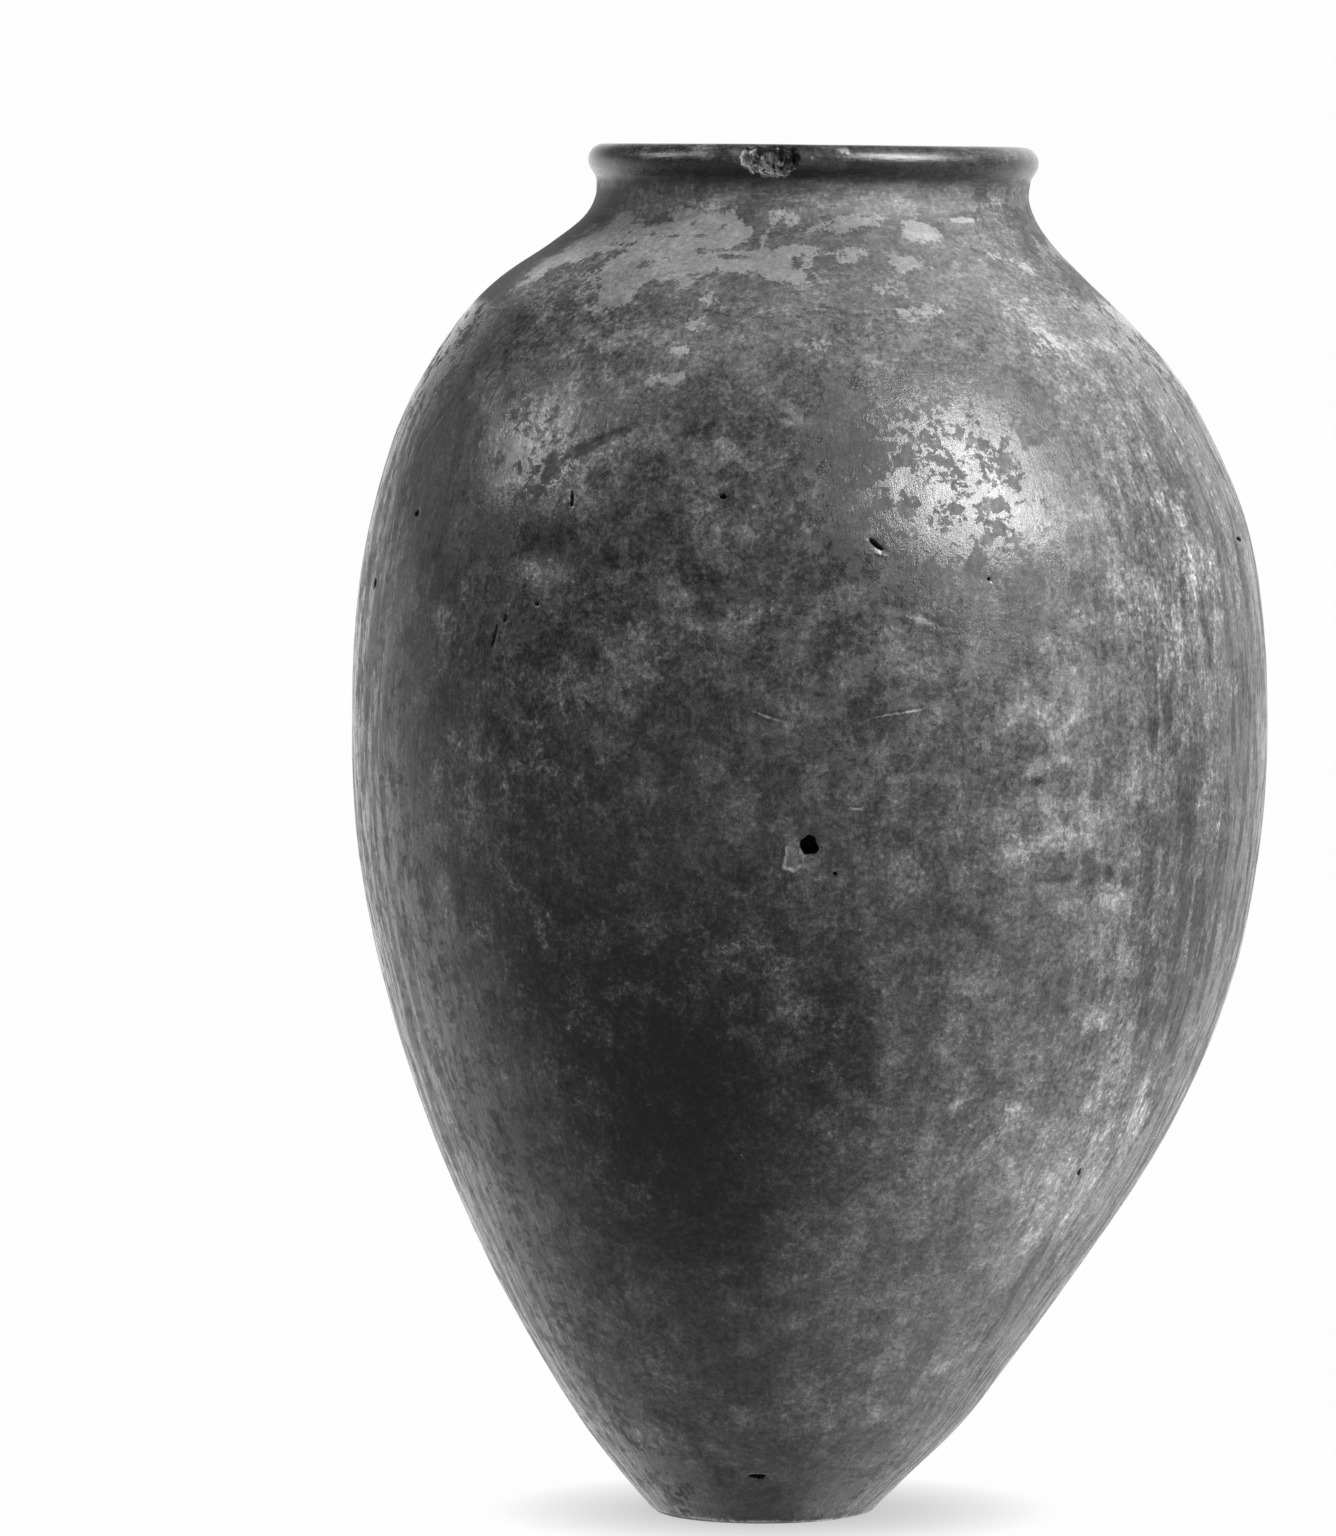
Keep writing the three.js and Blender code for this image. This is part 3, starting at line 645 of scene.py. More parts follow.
def beside(mark, angle, height):
    """Distance from a drawn line, above zero over it and below zero under it, and its fade at the ends."""
    nearest = np.full(len(angle), 1e3)
    fade = np.zeros(len(angle))
    legs = [away(start, *end) for start, end in zip(mark.places, mark.places[1:])]
    whole = sum(math.hypot(*leg) for leg in legs)
    before = 0.0
    for start, (end_right, end_up) in zip(mark.places, legs):
        length = math.hypot(end_right, end_up)
        right, up = away(start, angle, height)
        along = np.clip((right * end_right + up * end_up) / length ** 2, 0, 1)
        off = np.hypot(right - along * end_right, up - along * end_up)
        side = np.sign((end_right * up - end_up * right) * math.copysign(1, end_right))
        closer = off < np.abs(nearest)
        nearest = np.where(closer, off * side, nearest)
        share = (before + along * length) / whole
        fade = np.where(closer, np.sin(np.pi * np.clip(share, 0.08, 0.92)) ** 0.5, fade)
        before += length
    return nearest, fade


def relief(angle, radius, height):
    """Height of the outer face above the plain turned wall."""
    rise = np.zeros(len(angle))
    at_neck = smoothstep(height, *WAVES_FADE)
    for tall, size, octaves, seed, squeeze, upright_squeeze, kept in WALL_WAVES:
        wave = waves(angle, radius * squeeze, height * upright_squeeze, size, octaves, seed)
        rise += tall * (1 - (1 - kept) * at_neck) * wave
    for dent in DENTS:
        rise -= dent.deep * bell(dent, angle, height)
    for mark in [*MARKS, RIDGE]:
        off, fade = beside(mark, angle, height)
        rise -= mark.deep * fade * hump(off, 0, mark.wide / GROOVE_SHARPNESS)
        rise += mark.burr * fade * hump(off, -mark.wide, mark.wide / BURR_SHARPNESS)
    return rise


def edge_relief(angle, height):
    """Slip that rounds down into the pits, and the spall beside the largest of them."""
    rise = np.zeros(len(angle))
    for pit in PITS:
        over = (reach_of(pit, angle, height) - 1) * min(pit.wide, pit.tall) / 2
        rise -= PIT_ROUNDING * np.exp(-np.clip(over, 0, None) / PIT_ROUNDING_REACH)
    spall = reach_of(SPALL, angle, height)
    rise -= SPALL.deep * (1 - smoothstep(spall, *SPALL_FADE))
    return rise + SPALL_LIP * hump(spall, *SPALL_LIP_PLACE)


def pit_depth(angle, height):
    """Depth of the pits in the clay under the slip."""
    depths = [pit.deep * (1 - smoothstep(reach_of(pit, angle, height), *PIT_FADE)) for pit in PITS]
    return np.max(depths, axis=0)


def chip_depth(places, way, angle, height):
    """How far in along a direction the fracture lies, and how deep inside the nearest bite a point is."""
    depth = np.zeros(len(places))
    inside = np.full(len(places), float(FAR_OUTSIDE))
    ragged = CHIP_RAGGEDNESS * waves(angle, CHIP_RADIUS, height, *CHIP_EDGE_WAVES)
    for bite in BITES:
        sideways = round_axis(np.array([bite.angle + 90]), 1, 0)[0]
        outwards = round_axis(np.array([bite.angle]), 1, 0)[0]
        axes = np.stack([sideways * 2 / bite.wide, outwards / bite.deep, np.array([0, 0, 2 / bite.tall])])
        middle = bite.radius * outwards + np.array([0, 0, bite.height])
        local = (places - middle) @ axes.T
        local_way = way @ axes.T
        square = (local_way ** 2).sum(1)
        half = (local * local_way).sum(1)
        inner = (local ** 2).sum(1) - 1 + ragged
        root = np.sqrt(np.clip(half ** 2 - square * inner, 0, None))
        depth = np.maximum(depth, np.where(inner < 0, (-half + root) / square, 0))
        inside = np.maximum(inside, -inner)
    fibres = waves(angle * 0.5 - height * 0.6, CHIP_RADIUS, height * 0.8 + angle * 0.5, *FIBRE_WAVES)
    rough = 0.6 * fibres + 0.6 * waves(angle, CHIP_RADIUS, height, *LUMP_WAVES)
    depth = np.where(depth > 0, depth + CHIP_ROUGHNESS * rough * smoothstep(depth, 0.0, 0.8), 0)
    return np.clip(depth, 0, CHIP_DEEPEST), inside


def stations(zones):
    """Distances along a line, from zones of (start, end, step)."""
    runs = []
    for start, end, step in zones:
        runs.append(np.linspace(start, end, max(2, math.ceil((end - start) / step) + 1)))
    return np.unique(np.round(np.concatenate(runs), 5))


def flat_grid(zones):
    """Flat mesh with the angle across and the distance up."""
    grid = bmesh.new()
    angles = np.linspace(-180, 180, COLUMNS + 1)
    rows = [[grid.verts.new((angle, distance, 0)) for angle in angles] for distance in stations(zones)]
    for low, high in zip(rows, rows[1:]):
        for column in range(COLUMNS):
            grid.faces.new((low[column], low[column + 1], high[column + 1], high[column]))
    return grid


def refine(grid, line, spots):
    """Halves the cells near each spot of (angle, distance, reach, cell) until they are small enough."""
    for _ in range(HALVINGS):
        faces = list(grid.faces)
        middles = np.array([face.calc_center_median()[:2] for face in faces])
        radius = line.at(middles[:, 1])[0]
        chosen = set()
        for angle, distance, reach, cell in spots:
            off = np.hypot(np.radians(middles[:, 0] - angle) * radius, middles[:, 1] - distance)
            for index in np.flatnonzero(off < reach + 3 * cell):
                corners = np.array([vert.co[:2] for vert in faces[index].verts])
                wide, tall = np.ptp(corners, axis=0)
                size = max(math.radians(wide) * radius[index], tall)
                if size > cell * 1.3 and off[index] < reach + size * 0.8:
                    chosen.add(faces[index])
        if not chosen:
            break
        edges = list({edge for face in chosen for edge in face.edges})
        bmesh.ops.subdivide_edges(grid, edges=edges, cuts=1, use_grid_fill=True)
    many_sided = [face for face in grid.faces if len(face.verts) > 4]
    bmesh.ops.triangulate(grid, faces=many_sided)


def open_holes(grid, inside, snap):
    """Takes out the faces inside the holes, and moves the corners of each hole onto its outline."""
    faces = list(grid.faces)
    middles = np.array([face.calc_center_median()[:2] for face in faces])
    gone = [faces[index] for index in np.flatnonzero(inside(*middles.T))]
    bmesh.ops.delete(grid, geom=gone, context="FACES")
    edge = [vert for vert in grid.verts if vert.is_boundary]
    places = np.array([vert.co[:2] for vert in edge])
    for vert, place in zip(edge, snap(*places.T)):
        vert.co.x, vert.co.y = place


def welded(grid):
    """Corners as (angle, distance) and faces as corner numbers, joined at the back."""
    grid.verts.ensure_lookup_table()
    grid.verts.index_update()
    corners = np.array([vert.co[:2] for vert in grid.verts])
    seam = {round(corner[1], 3): index for index, corner in enumerate(corners) if corner[0] < -179.999}
    joined = np.arange(len(corners))
    for index in np.flatnonzero(corners[:, 0] > 179.999):
        joined[index] = seam[round(corners[index][1], 3)]
    kept, number = np.unique(joined, return_inverse=True)
    faces = [[int(number[vert.index]) for vert in face.verts] for face in grid.faces]
    grid.free()
    return corners[kept], faces


def open_edges(faces):
    """Edges that only one face has, in the direction in which that face runs."""
    edges = [(a, b) for face in faces for a, b in zip(face, face[1:] + face[:1])]
    known = set(edges)
    return [(a, b) for a, b in edges if (b, a) not in known]


def shell_faces(faces, count):
    """Faces of a closed shell whose back has the same corners as its front, numbered from count on."""
    backs = [[corner + count for corner in reversed(face)] for face in faces]
    sides = [[b, a, a + count, b + count] for a, b in open_edges(faces)]
    return faces + backs + sides


def ring_faces(faces, corners):
    """Faces of a closed ring: the first and last rows of one sheet are joined."""
    edges = open_edges(faces)
    middle = corners[:, 1].mean()
    low = {round(corners[a][0], 4): (a, b) for a, b in edges if corners[a][1] < middle}
    sides = []
    for a, b in edges:
        if corners[a][1] > middle:
            low_a, low_b = low[round(corners[b][0], 4)]
            sides.append([b, a, low_b, low_a])
    return faces + sides


def make_piece(name, places, faces, node, material, values):
    """One object of the jar from corners in mm, riding on the jar's body in place of a CAD node."""
    mesh = bpy.data.meshes.new(name)
    mesh.from_pydata((places * MM).tolist(), [], faces)
    for label, value in values.items():
        kind, field = ("FLOAT_VECTOR", "vector") if value.ndim == 2 else ("FLOAT", "value")
        mesh.attributes.new(label, kind, "POINT").data.foreach_set(field, np.ravel(value).astype(np.float32))
    tidy = bmesh.new()
    tidy.from_mesh(mesh)
    bmesh.ops.remove_doubles(tidy, verts=tidy.verts, dist=1e-6)
    bmesh.ops.recalc_face_normals(tidy, faces=tidy.faces)
    tidy.to_mesh(mesh)
    tidy.free()
    mesh.shade_smooth()
    mesh.set_sharp_from_angle(angle=math.radians(SHARP_ANGLE))
    mesh.materials.append(material)
    piece = bpy.data.objects.new(name, mesh)
    bpy.context.scene.collection.objects.link(piece)
    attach(piece, "root")
    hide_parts(node)


def patch_tones(angle, height):
    """How pale and how dark each point of the slip is, from the named patches and lines: mostly wear and
    soot, with painted shade in the long groove and on the upper slope of a hand dent, and painted light on
    its lower slope.
    """
    pale = np.zeros(len(angle))
    dark = np.zeros(len(angle))
    for patch in PATCHES:
        tone = patch.tone * bell(patch, angle, height)
        pale = np.maximum(pale, tone)
        dark = np.maximum(dark, -tone)
    pale *= np.interp(angle, *zip(*PALE_ROUND))
    for mark in MARKS:
        off, fade = beside(mark, angle, height)
        below = mark.wide * 0.5 if mark.pale > 0 else 0
        tone = mark.pale * fade * hump(off, -below, mark.wide)
        pale = np.maximum(pale, tone)
        dark = np.maximum(dark, -tone)
    return pale, dark


def covered(patches, angle, height):
    """How far each point is covered by patches that lie over one another like veils."""
    clear = np.ones(len(angle))
    for patch in patches:
        clear *= 1 - abs(patch.tone) * bell(patch, angle, height)
    return 1 - clear


def bare_tone(angle, height):
    """Share of the slip that is worn through on the shoulder, before the noise that breaks its edges up."""
    worn = [patch for patch in BARE if patch.tone > 0]
    remnants = [patch for patch in BARE if patch.tone < 0]
    return covered(worn, angle, height) * (1 - covered(remnants, angle, height))


def spall_tone(angle, height):
    """Pale broken edge round the spall, and its less pale floor."""
    reach = reach_of(SPALL, angle, height)
    return hump(reach, *SPALL_EDGE_PLACE) + SPALL_FLOOR_TONE * (1 - smoothstep(reach, *SPALL_FLOOR_FADE))


def broad_tone(patches, angle, height):
    return sum(patch.tone * bell(patch, angle, height) for patch in patches)


def lime_tone(angle, height):
    """1 on the spots of lime or dust, fading to 0 at their edges."""
    tone = np.zeros(len(angle))
    for spot_angle, spot_height, size in SPOTS:
        off = np.hypot(*away((spot_angle, spot_height), angle, height)) / size
        tone = np.maximum(tone, 1 - smoothstep(off, *SPOT_EDGE))
    return tone


def brushing(angle, height):
    """How much the wear follows the strokes of the burnishing rather than lying in crumbs."""
    body = np.interp(angle, *zip(*BRUSHED_ROUND)) * (1 - smoothstep(height, *BRUSHED_TOP))
    return np.maximum(body, smoothstep(height, *BRUSHED_NECK))


def mottling(angle, height):
    """How strong the mottling is at each point of the slip."""
    plain = np.interp(angle, *zip(*CONTRAST_ROUND)) * np.interp(height, *zip(*CONTRAST_UP))
    return plain * (1 + CLOUD_CONTRAST * covered(CLOUDS, angle, height))


def run_length(points):
    return np.hypot(*np.diff(points, axis=0).T).sum()


def slip_line():
    """Section of the slip: round the foot's edge, up the wall, over the lip and into the neck."""
    foot = np.array(FOOT_ROUNDING)
    inside = wall.points(WALL_LENGTH, WALL_LENGTH - INNER_SLIP_LENGTH, INNER_SLIP_FRONT)
    points = np.vstack([foot, wall.line, lip_points(0), inside])
    return Line(points, start=-run_length(points[:len(foot) + 1]), softening=CORNER_SOFTENING)


slip = slip_line()
LIP_TOP = float(slip.run[np.argmax(slip.line[:, 1])])
CHIP_DISTANCE = float(slip.run[np.argmax(slip.line[:, 0] * (slip.line[:, 1] > 295))])


def pit_spots():
    """Where the mesh has to be fine for the pits."""
    spots = []
    for pit in [*PITS, SPALL]:
        cell = min(PIT_CELL, min(pit.wide, pit.tall) / 5)
        reach = max(pit.wide, pit.tall) / 2 + PIT_MARGIN
        spots.append((pit.angle, wall.distance_at(pit.height), reach, cell))
    return spots


def mark_spots():
    spots = []
    for mark in MARKS:
        cell = max(MARK_CELL, mark.wide / 3)
        for start, end in zip(mark.places, mark.places[1:]):
            count = max(2, int(math.hypot(*away(start, *end)) / 2) + 1)
            for angle, height in np.linspace(start, end, count):
                spots.append((angle, wall.distance_at(height), mark.wide + MARK_MARGIN, cell))
    return spots


def patch_spots():
    """Where the mesh has to be fine for the narrow worn places, along the length of each."""
    spots = []
    for patch in [*PATCHES, *BARE]:
        short, long = sorted([patch.wide, patch.tall])
        if short < PATCH_SMALL:
            middle = wall.distance_at(patch.height)
            turn = math.radians(patch.lean + (90 if patch.wide > patch.tall else 0))
            for share in np.linspace(-1, 1, max(1, round(long / short))):
                angle = patch.angle + math.degrees(long * share * math.sin(turn) / float(wall.at(middle)[0]))
                distance = middle + long * share * math.cos(turn)
                spots.append((angle, distance, 1.6 * short, max(PATCH_CELL, 0.5 * short)))
    return spots


def lime_spots():
    """Fine mesh on the lip, at the angle of each spot."""
    return [(angle, CHIP_DISTANCE, size, SPOT_CELL) for angle, _, size in SPOTS]


def chip_spots():
    return [(CHIP_MIDDLE, CHIP_DISTANCE + lift, CHIP_REACH, CHIP_CELL) for lift in (0, 3)]


def chip_on(line, angle, distance):
    """Depth of the chip's fracture at points of a line's surface, and how deep inside a bite they are."""
    radius, height = line.at(distance)
    near = (np.abs(angle - CHIP_MIDDLE) < CHIP_SPREAD) & (distance > RIM_SEAM - 2) & (distance < LIP_TOP + 8)
    deep = np.zeros(len(angle))
    inside = np.full(len(angle), float(FAR_OUTSIDE))
    if near.any():
        outwards, upwards = CHIP_OUT
        places = round_axis(angle[near], radius[near], height[near])
        way = -round_axis(angle[near], outwards, upwards)
        deep[near], inside[near] = chip_depth(places, way, angle[near], height[near])
    return deep, inside


def snapped_to_chip(places):
    """Moves corners at the edge of the chip's hole along the slope of the bites onto their outline."""
    places = places.copy()
    nudge = 0.05
    for _ in range(3):
        inside = chip_on(slip, *places.T)[1]
        across = (chip_on(slip, places[:, 0] + nudge, places[:, 1])[1] - inside) / nudge
        along = (chip_on(slip, places[:, 0], places[:, 1] + nudge)[1] - inside) / nudge
        steepness = across ** 2 + along ** 2
        near = (inside > -0.6) & (inside < 0.9) & (steepness > 1e-4)
        slope = np.stack([across, along], 1)[near]
        move = inside[near, None] * slope / steepness[near, None]
        places[near] -= np.clip(move, -CHIP_SNAP, CHIP_SNAP)
    return places


def snapped_to_pits(angle, distance):
    """Moves corners at the edge of a hole onto the pit's outline."""
    height = slip.at(distance)[1]
    places = np.stack([angle, distance], 1)
    on_wall = distance < WALL_LENGTH
    for pit in PITS:
        reach = reach_of(pit, angle, height)
        middle = np.array([pit.angle, wall.distance_at(pit.height)])
        near = on_wall & (reach < 1.6) & (reach > 0.4)
        places[near] = middle + (places[near] - middle) / reach[near, None]
    return snapped_to_chip(places)


def in_slip_hole(angle, distance):
    height = slip.at(distance)[1]
    in_pit = np.any([reach_of(pit, angle, height) < 1 for pit in PITS], axis=0)
    return in_pit & (distance < WALL_LENGTH) | (chip_on(slip, angle, distance)[1] > 0)


def lip_relief(angle, radius, height, distance):
    """Relief of the outside, with less of it past the top of the lip."""
    outside = 1 - smoothstep(distance, LIP_TOP - 1, LIP_TOP + 4)
    return relief(angle, radius, height) * (INSIDE_RELIEF + (1 - INSIDE_RELIEF) * outside)


def slip_coat(material):
    """Thin coat over the outside, the lip and the top of the neck's inside, open at the pits and the chip."""
    inside_from = LIP_TOP + INSIDE_FROM
    grid = flat_grid([
        (slip.run[0], FOOT_ZONE, FOOT_STEP),
        (FOOT_ZONE, SHOULDER_SEAM, BODY_STEP),
        (SHOULDER_SEAM, WALL_LENGTH - LIP_ZONE, NECK_STEP),
        (WALL_LENGTH - LIP_ZONE, inside_from, LIP_STEP),
        (inside_from, slip.run[-1], INSIDE_STEP),
    ])
    refine(grid, slip, patch_spots() + pit_spots() + mark_spots() + lime_spots() + chip_spots())
    open_holes(grid, in_slip_hole, snapped_to_pits)
    corners, faces = welded(grid)
    angle, distance = corners.T
    radius, height = slip.at(distance)
    lift = lip_relief(angle, radius, height, distance)
    lift += np.where(distance < WALL_LENGTH, edge_relief(angle, height), 0)
    lift += SPOT_RISE * lime_tone(angle, height)
    front = placed(angle, *slip.at(distance, -lift))
    back = placed(angle, *slip.at(distance, SLIP_THICKNESS - lift))
    shown_height = np.where(distance < LIP_TOP, height, -1e3)
    pale, dark = patch_tones(angle, shown_height)
    values = {
        "stroke_place": round_axis(angle, STROKE_RADIUS, distance),
        "pale": pale,
        "dark": dark,
        "bare": bare_tone(angle, shown_height),
        "cloud": covered(CLOUDS, angle, height),
        "spall": spall_tone(angle, height),
        "lime": lime_tone(angle, height),
        "brushed": brushing(angle, height),
        "mottling": mottling(angle, height),
        # Fades: the slip's own tone, with painted light and painted shade
        "fade": broad_tone(LIGHT_AND_TONE_FADES, angle, height),
        "dull": broad_tone(DULL, angle, height),
    }
    values = {name: np.concatenate([value, value]) for name, value in values.items()}
    places = np.vstack([front, back])
    places[:, 2] = np.maximum(places[:, 2], 0)
    shell = shell_faces(faces, len(corners))
    make_piece("burnished_slip", places, shell, "slip_coat", material, values)


def wiped(angle, radius, height):
    """Finger marks round the inside of the wall."""
    drift = waves(angle, radius, height, *DRIFT_WAVES)
    ridges = np.sin(height / FINGER_RADIAN + FINGER_DRIFT * drift) * FINGER_DEPTH
    return ridges + sum(depth * waves(angle, radius, height, *kind) for kind, depth in FINGER_WAVES)


# Painted shade in the pits, growing with their depth
def pit_shade(angle, height):
    return smoothstep(pit_depth(angle, height), *SHADED_DEPTH)


def clay_ring(name, low_seam, high_seam, step, material):
    """One ring of clay between two seams, its back lapped down behind the ring below."""
    low, high = low_seam + SEAM_GAP / 2, high_seam - SEAM_GAP / 2
    grid = flat_grid([(low, high, step)])
    refine(grid, wall, [spot for spot in pit_spots() if low - 4 < spot[1] < high + 4])
    corners, faces = welded(grid)
    angle, distance = corners.T
    radius, height = wall.at(distance)
    lift = relief(angle, radius, height) - pit_depth(angle, height)
    front = placed(angle, *wall.at(distance, CLAY_FRONT - lift))
    inwards = wiped(angle, *wall.at(distance - SEAM_LAP, CLAY_BACK))
    back = placed(angle, *wall.at(distance - SEAM_LAP, CLAY_BACK + inwards))
    rolls = SEAM_ROLL * (hump(distance, low, SEAM_ROLL_WIDTH) + hump(distance, high, SEAM_ROLL_WIDTH))
    strokes = round_axis(angle, STROKE_RADIUS, distance)
    plain = np.zeros(len(angle))
    values = {
        "stroke_place": np.vstack([strokes, strokes]),
        "pit": np.concatenate([pit_shade(angle, height), plain]),
        "seam": np.concatenate([plain, rolls]),
    }
    places = np.vstack([front, back])
    make_piece(name, places, shell_faces(faces, len(corners)), name, material, values)


def rim_roll(material):
    """Rolled lip, closed along the seam to the neck, with the fracture of the chip."""
    low = RIM_SEAM + SEAM_GAP / 2
    outside = wall.points(low, WALL_LENGTH, CLAY_FRONT)
    inside = wall.points(WALL_LENGTH, low - SEAM_LAP, CLAY_BACK)
    line = Line(np.vstack([outside, lip_points(CLAY_FRONT), inside]), start=low, softening=CORNER_SOFTENING)
    inside_from = LIP_TOP + INSIDE_FROM
    grid = flat_grid([(line.run[0], inside_from, LIP_STEP), (inside_from, line.run[-1], INSIDE_STEP)])
    refine(grid, line, chip_spots())
    corners, faces = welded(grid)
    angle, distance = corners.T
    lift = lip_relief(angle, *line.at(distance), distance)
    chip, _ = chip_on(line, angle, distance)
    radius, height = line.at(distance, np.where(chip > 0, 0, -lift))
    places = placed(angle, radius - chip * CHIP_OUT[0], height - chip * CHIP_OUT[1])
    # Painted shade in the right end of the chip, carried in the pit value
    chip_shaded = smoothstep(angle, *CHIP_SHADE_ANGLES) * smoothstep(height, *CHIP_SHADE_HEIGHTS)
    broken = smoothstep(chip, *CHIP_BROKEN)
    values = {
        "stroke_place": round_axis(angle, STROKE_RADIUS, distance),
        "pit": CHIP_SHADE_STRENGTH * chip_shaded * broken,
        "seam": np.zeros(len(angle)),
        "fracture": broken,
    }
    make_piece("rim_roll", places, ring_faces(faces, corners), "rim_roll", material, values)


def foot_line(high):
    """Section of the foot: its sole, its wall up to the first seam, and the floor inside."""
    edge_radius, edge_height = wall.at(FOOT_SEAM - SEAM_LAP - SEAM_GAP / 2, CLAY_BACK)
    share = np.linspace(1, 0, 40)[:, None]
    floor = np.hstack([edge_radius * share, FLOOR_THICKNESS + (edge_height - FLOOR_THICKNESS) * share ** 2])
    sole = np.array([(0, 0), (REST_RADIUS, 0), REST_EDGE])
    front = wall.points(0, high, CLAY_FRONT)
    return Line(np.vstack([sole, front, floor]), start=-run_length(np.vstack([sole, front[:1]])))


def foot_disc(material):
    """Flat disc that the jar was started on, with its resting face and the floor inside."""
    high = FOOT_SEAM - SEAM_GAP / 2
    line = foot_line(high)
    sole_zone = (line.run[0], -4, REST_STEP)
    grid = flat_grid([sole_zone, (-4, high, FOOT_WALL_STEP), (high, line.run[-1], FLOOR_STEP)])
    refine(grid, line, [spot for spot in pit_spots() if spot[1] < high])
    corners, faces = welded(grid)
    angle, distance = corners.T
    radius, height = line.at(distance)
    on_wall = smoothstep(distance, 0, 2) * (1 - smoothstep(distance, high - 0.5, high))
    lift = on_wall * (relief(angle, radius, height) - pit_depth(angle, height))
    turns = radius / SWIRL_RADIAN + np.radians(angle) + 2 * waves(angle, radius, height, *SWIRL_WAVES)
    swirl = SWIRL_DEPTH * np.sin(turns)
    lift += swirl * smoothstep(distance - high, *SWIRL_START) * smoothstep(radius, *SWIRL_MIDDLE)
    hollow = HOLLOW_DEPTH * (1 - smoothstep(radius, *HOLLOW_FADE))
    hollow += SOLE_GRAIN * np.abs(waves(angle, radius, height, *SOLE_WAVES))
    sole = (distance < 0) & (height < 0.01)
    lift -= np.where(sole, hollow * (1 - smoothstep(radius, *HOLLOW_EDGE)), 0)
    places = placed(angle, *line.at(distance, -lift))
    places[:, 2] = np.maximum(places[:, 2], 0)
    values = {
        "stroke_place": round_axis(angle, STROKE_RADIUS, distance),
        "pit": on_wall * pit_shade(angle, height),
        "seam": np.zeros(len(angle)),
    }
    make_piece("foot_disc", places, faces, "foot_disc", material, values)


class Shader:
    """Short ways to add and join the nodes of one tree, with parts that are kept by name."""

    def __init__(self, tree):
        self.tree = tree
        self.tree.nodes.clear()
        self.parts = {}

    def node(self, kind, inputs=(), **settings):
        made = self.tree.nodes.new("ShaderNode" + kind)
        for setting, value in settings.items():
            setattr(made, setting, value)
        for socket, value in dict(inputs).items():
            self.set(made.inputs[socket], value)
        return made

    def set(self, socket, value):
        if isinstance(value, bpy.types.NodeSocket):
            self.tree.links.new(value, socket)
        else:
            socket.default_value = value

    def math(self, operation, first, second):
        return self.node("Math", {0: first, 1: second}, operation=operation).outputs[0]

    def add(self, first, second):
        return self.math("ADD", first, second)

    def times(self, first, second):
        return self.math("MULTIPLY", first, second)

    def opposite(self, value):
        """1 where the value is 0, and 0 where it is 1."""
        return self.math("SUBTRACT", 1.0, value)

    def exponential(self, value):
        return self.math("POWER", math.e, value)

    def scaled(self, vector, factors):
        return self.node("VectorMath", {0: vector, 1: factors}, operation="MULTIPLY").outputs[0]

    def noise(self, vector, size, detail, roughness=0.55, distortion=0.0):
        settings = {"Scale": 1 / size, "Detail": detail, "Roughness": roughness, "Distortion": distortion}
        return self.node("TexNoise", {"Vector": vector, **settings}).outputs["Fac"]

    def step(self, value, low, high):
        inputs = {"Value": value, "From Min": low, "From Max": high}
        return self.node("MapRange", inputs, interpolation_type="SMOOTHSTEP").outputs["Result"]

    def ramp(self, value, low, high, to_low, to_high):
        inputs = {"Value": value, "From Min": low, "From Max": high, "To Min": to_low, "To Max": to_high}
        return self.node("MapRange", inputs).outputs["Result"]

    def signed(self, value, spread=0.06):
        """Noise centred on zero, and 1 where it stands the spread above its middle."""
        inputs = {"Value": value, "From Min": 0.5, "From Max": 0.5 + spread}
        return self.node("MapRange", inputs, clamp=False).outputs["Result"]

    def signed_noise(self, vector, size, detail, roughness=0.55, distortion=0.0, spread=0.06):
        return self.signed(self.noise(vector, size, detail, roughness, distortion), spread)

    def total(self, weights):
        """Sum of the named parts, each times its weight."""
        values = [self.times(self.parts[name], weight) for name, weight in weights.items()]
        result = values[0]
        for value in values[1:]:
            result = self.add(result, value)
        return result

    def between(self, value, low, high, fade):
        """1 between two values, fading to 0 outside them."""
        rising = self.step(value, low - fade, low)
        return self.times(rising, self.opposite(self.step(value, high, high + fade)))

    def mix(self, share, first, second):
        return self.node("Mix", {0: share, 2: first, 3: second}, data_type="FLOAT").outputs[0]

    def attribute(self, name, output="Fac"):
        return self.node("Attribute", attribute_name=name).outputs[output]

    def specks(self, vector, cell, size, share):
        """Sparse round specks: one in a share of the cells."""
        found = self.node("TexVoronoi", {"Vector": vector, "Scale": 1 / cell})
        chance = self.node("SeparateColor", {0: found.outputs["Color"]}).outputs[0]
        near = self.opposite(self.step(found.outputs["Distance"], size * 0.5, size))
        return self.times(near, self.math("GREATER_THAN", chance, 1 - share))

    def millimetres(self):
        """Object coordinates in millimetres."""
        return self.scaled(self.node("TexCoord").outputs["Object"], (1 / MM,) * 3)

    def surface(self, tone, roughness, height, bump_depth, specular):
        bump = self.node("Bump", {"Height": height, "Strength": 1.0, "Distance": bump_depth * MM})
        inputs = {"Base Color": tone, "Roughness": roughness, "Normal": bump.outputs[0]}
        shader = self.node("BsdfPrincipled", inputs)
        shader.inputs["Specular IOR Level"].default_value = specular
        self.node("OutputMaterial", {"Surface": shader.outputs[0]})


def new_material(name):
    material = bpy.data.materials.new(name)
    material.use_nodes = True
    return material, Shader(material.node_tree)


def brush_strokes(shader, drum, height, width, squeeze, roughness):
    """Streaks left by the burnishing: up the body and round the neck."""
    upright = shader.noise(shader.scaled(drum, (1, 1, squeeze)), width, 5, roughness)
    level = shader.noise(shader.scaled(drum, (squeeze, squeeze, 1)), width, 5, roughness)
    return shader.signed(shader.mix(shader.step(height, *STROKES_TURN), upright, level))


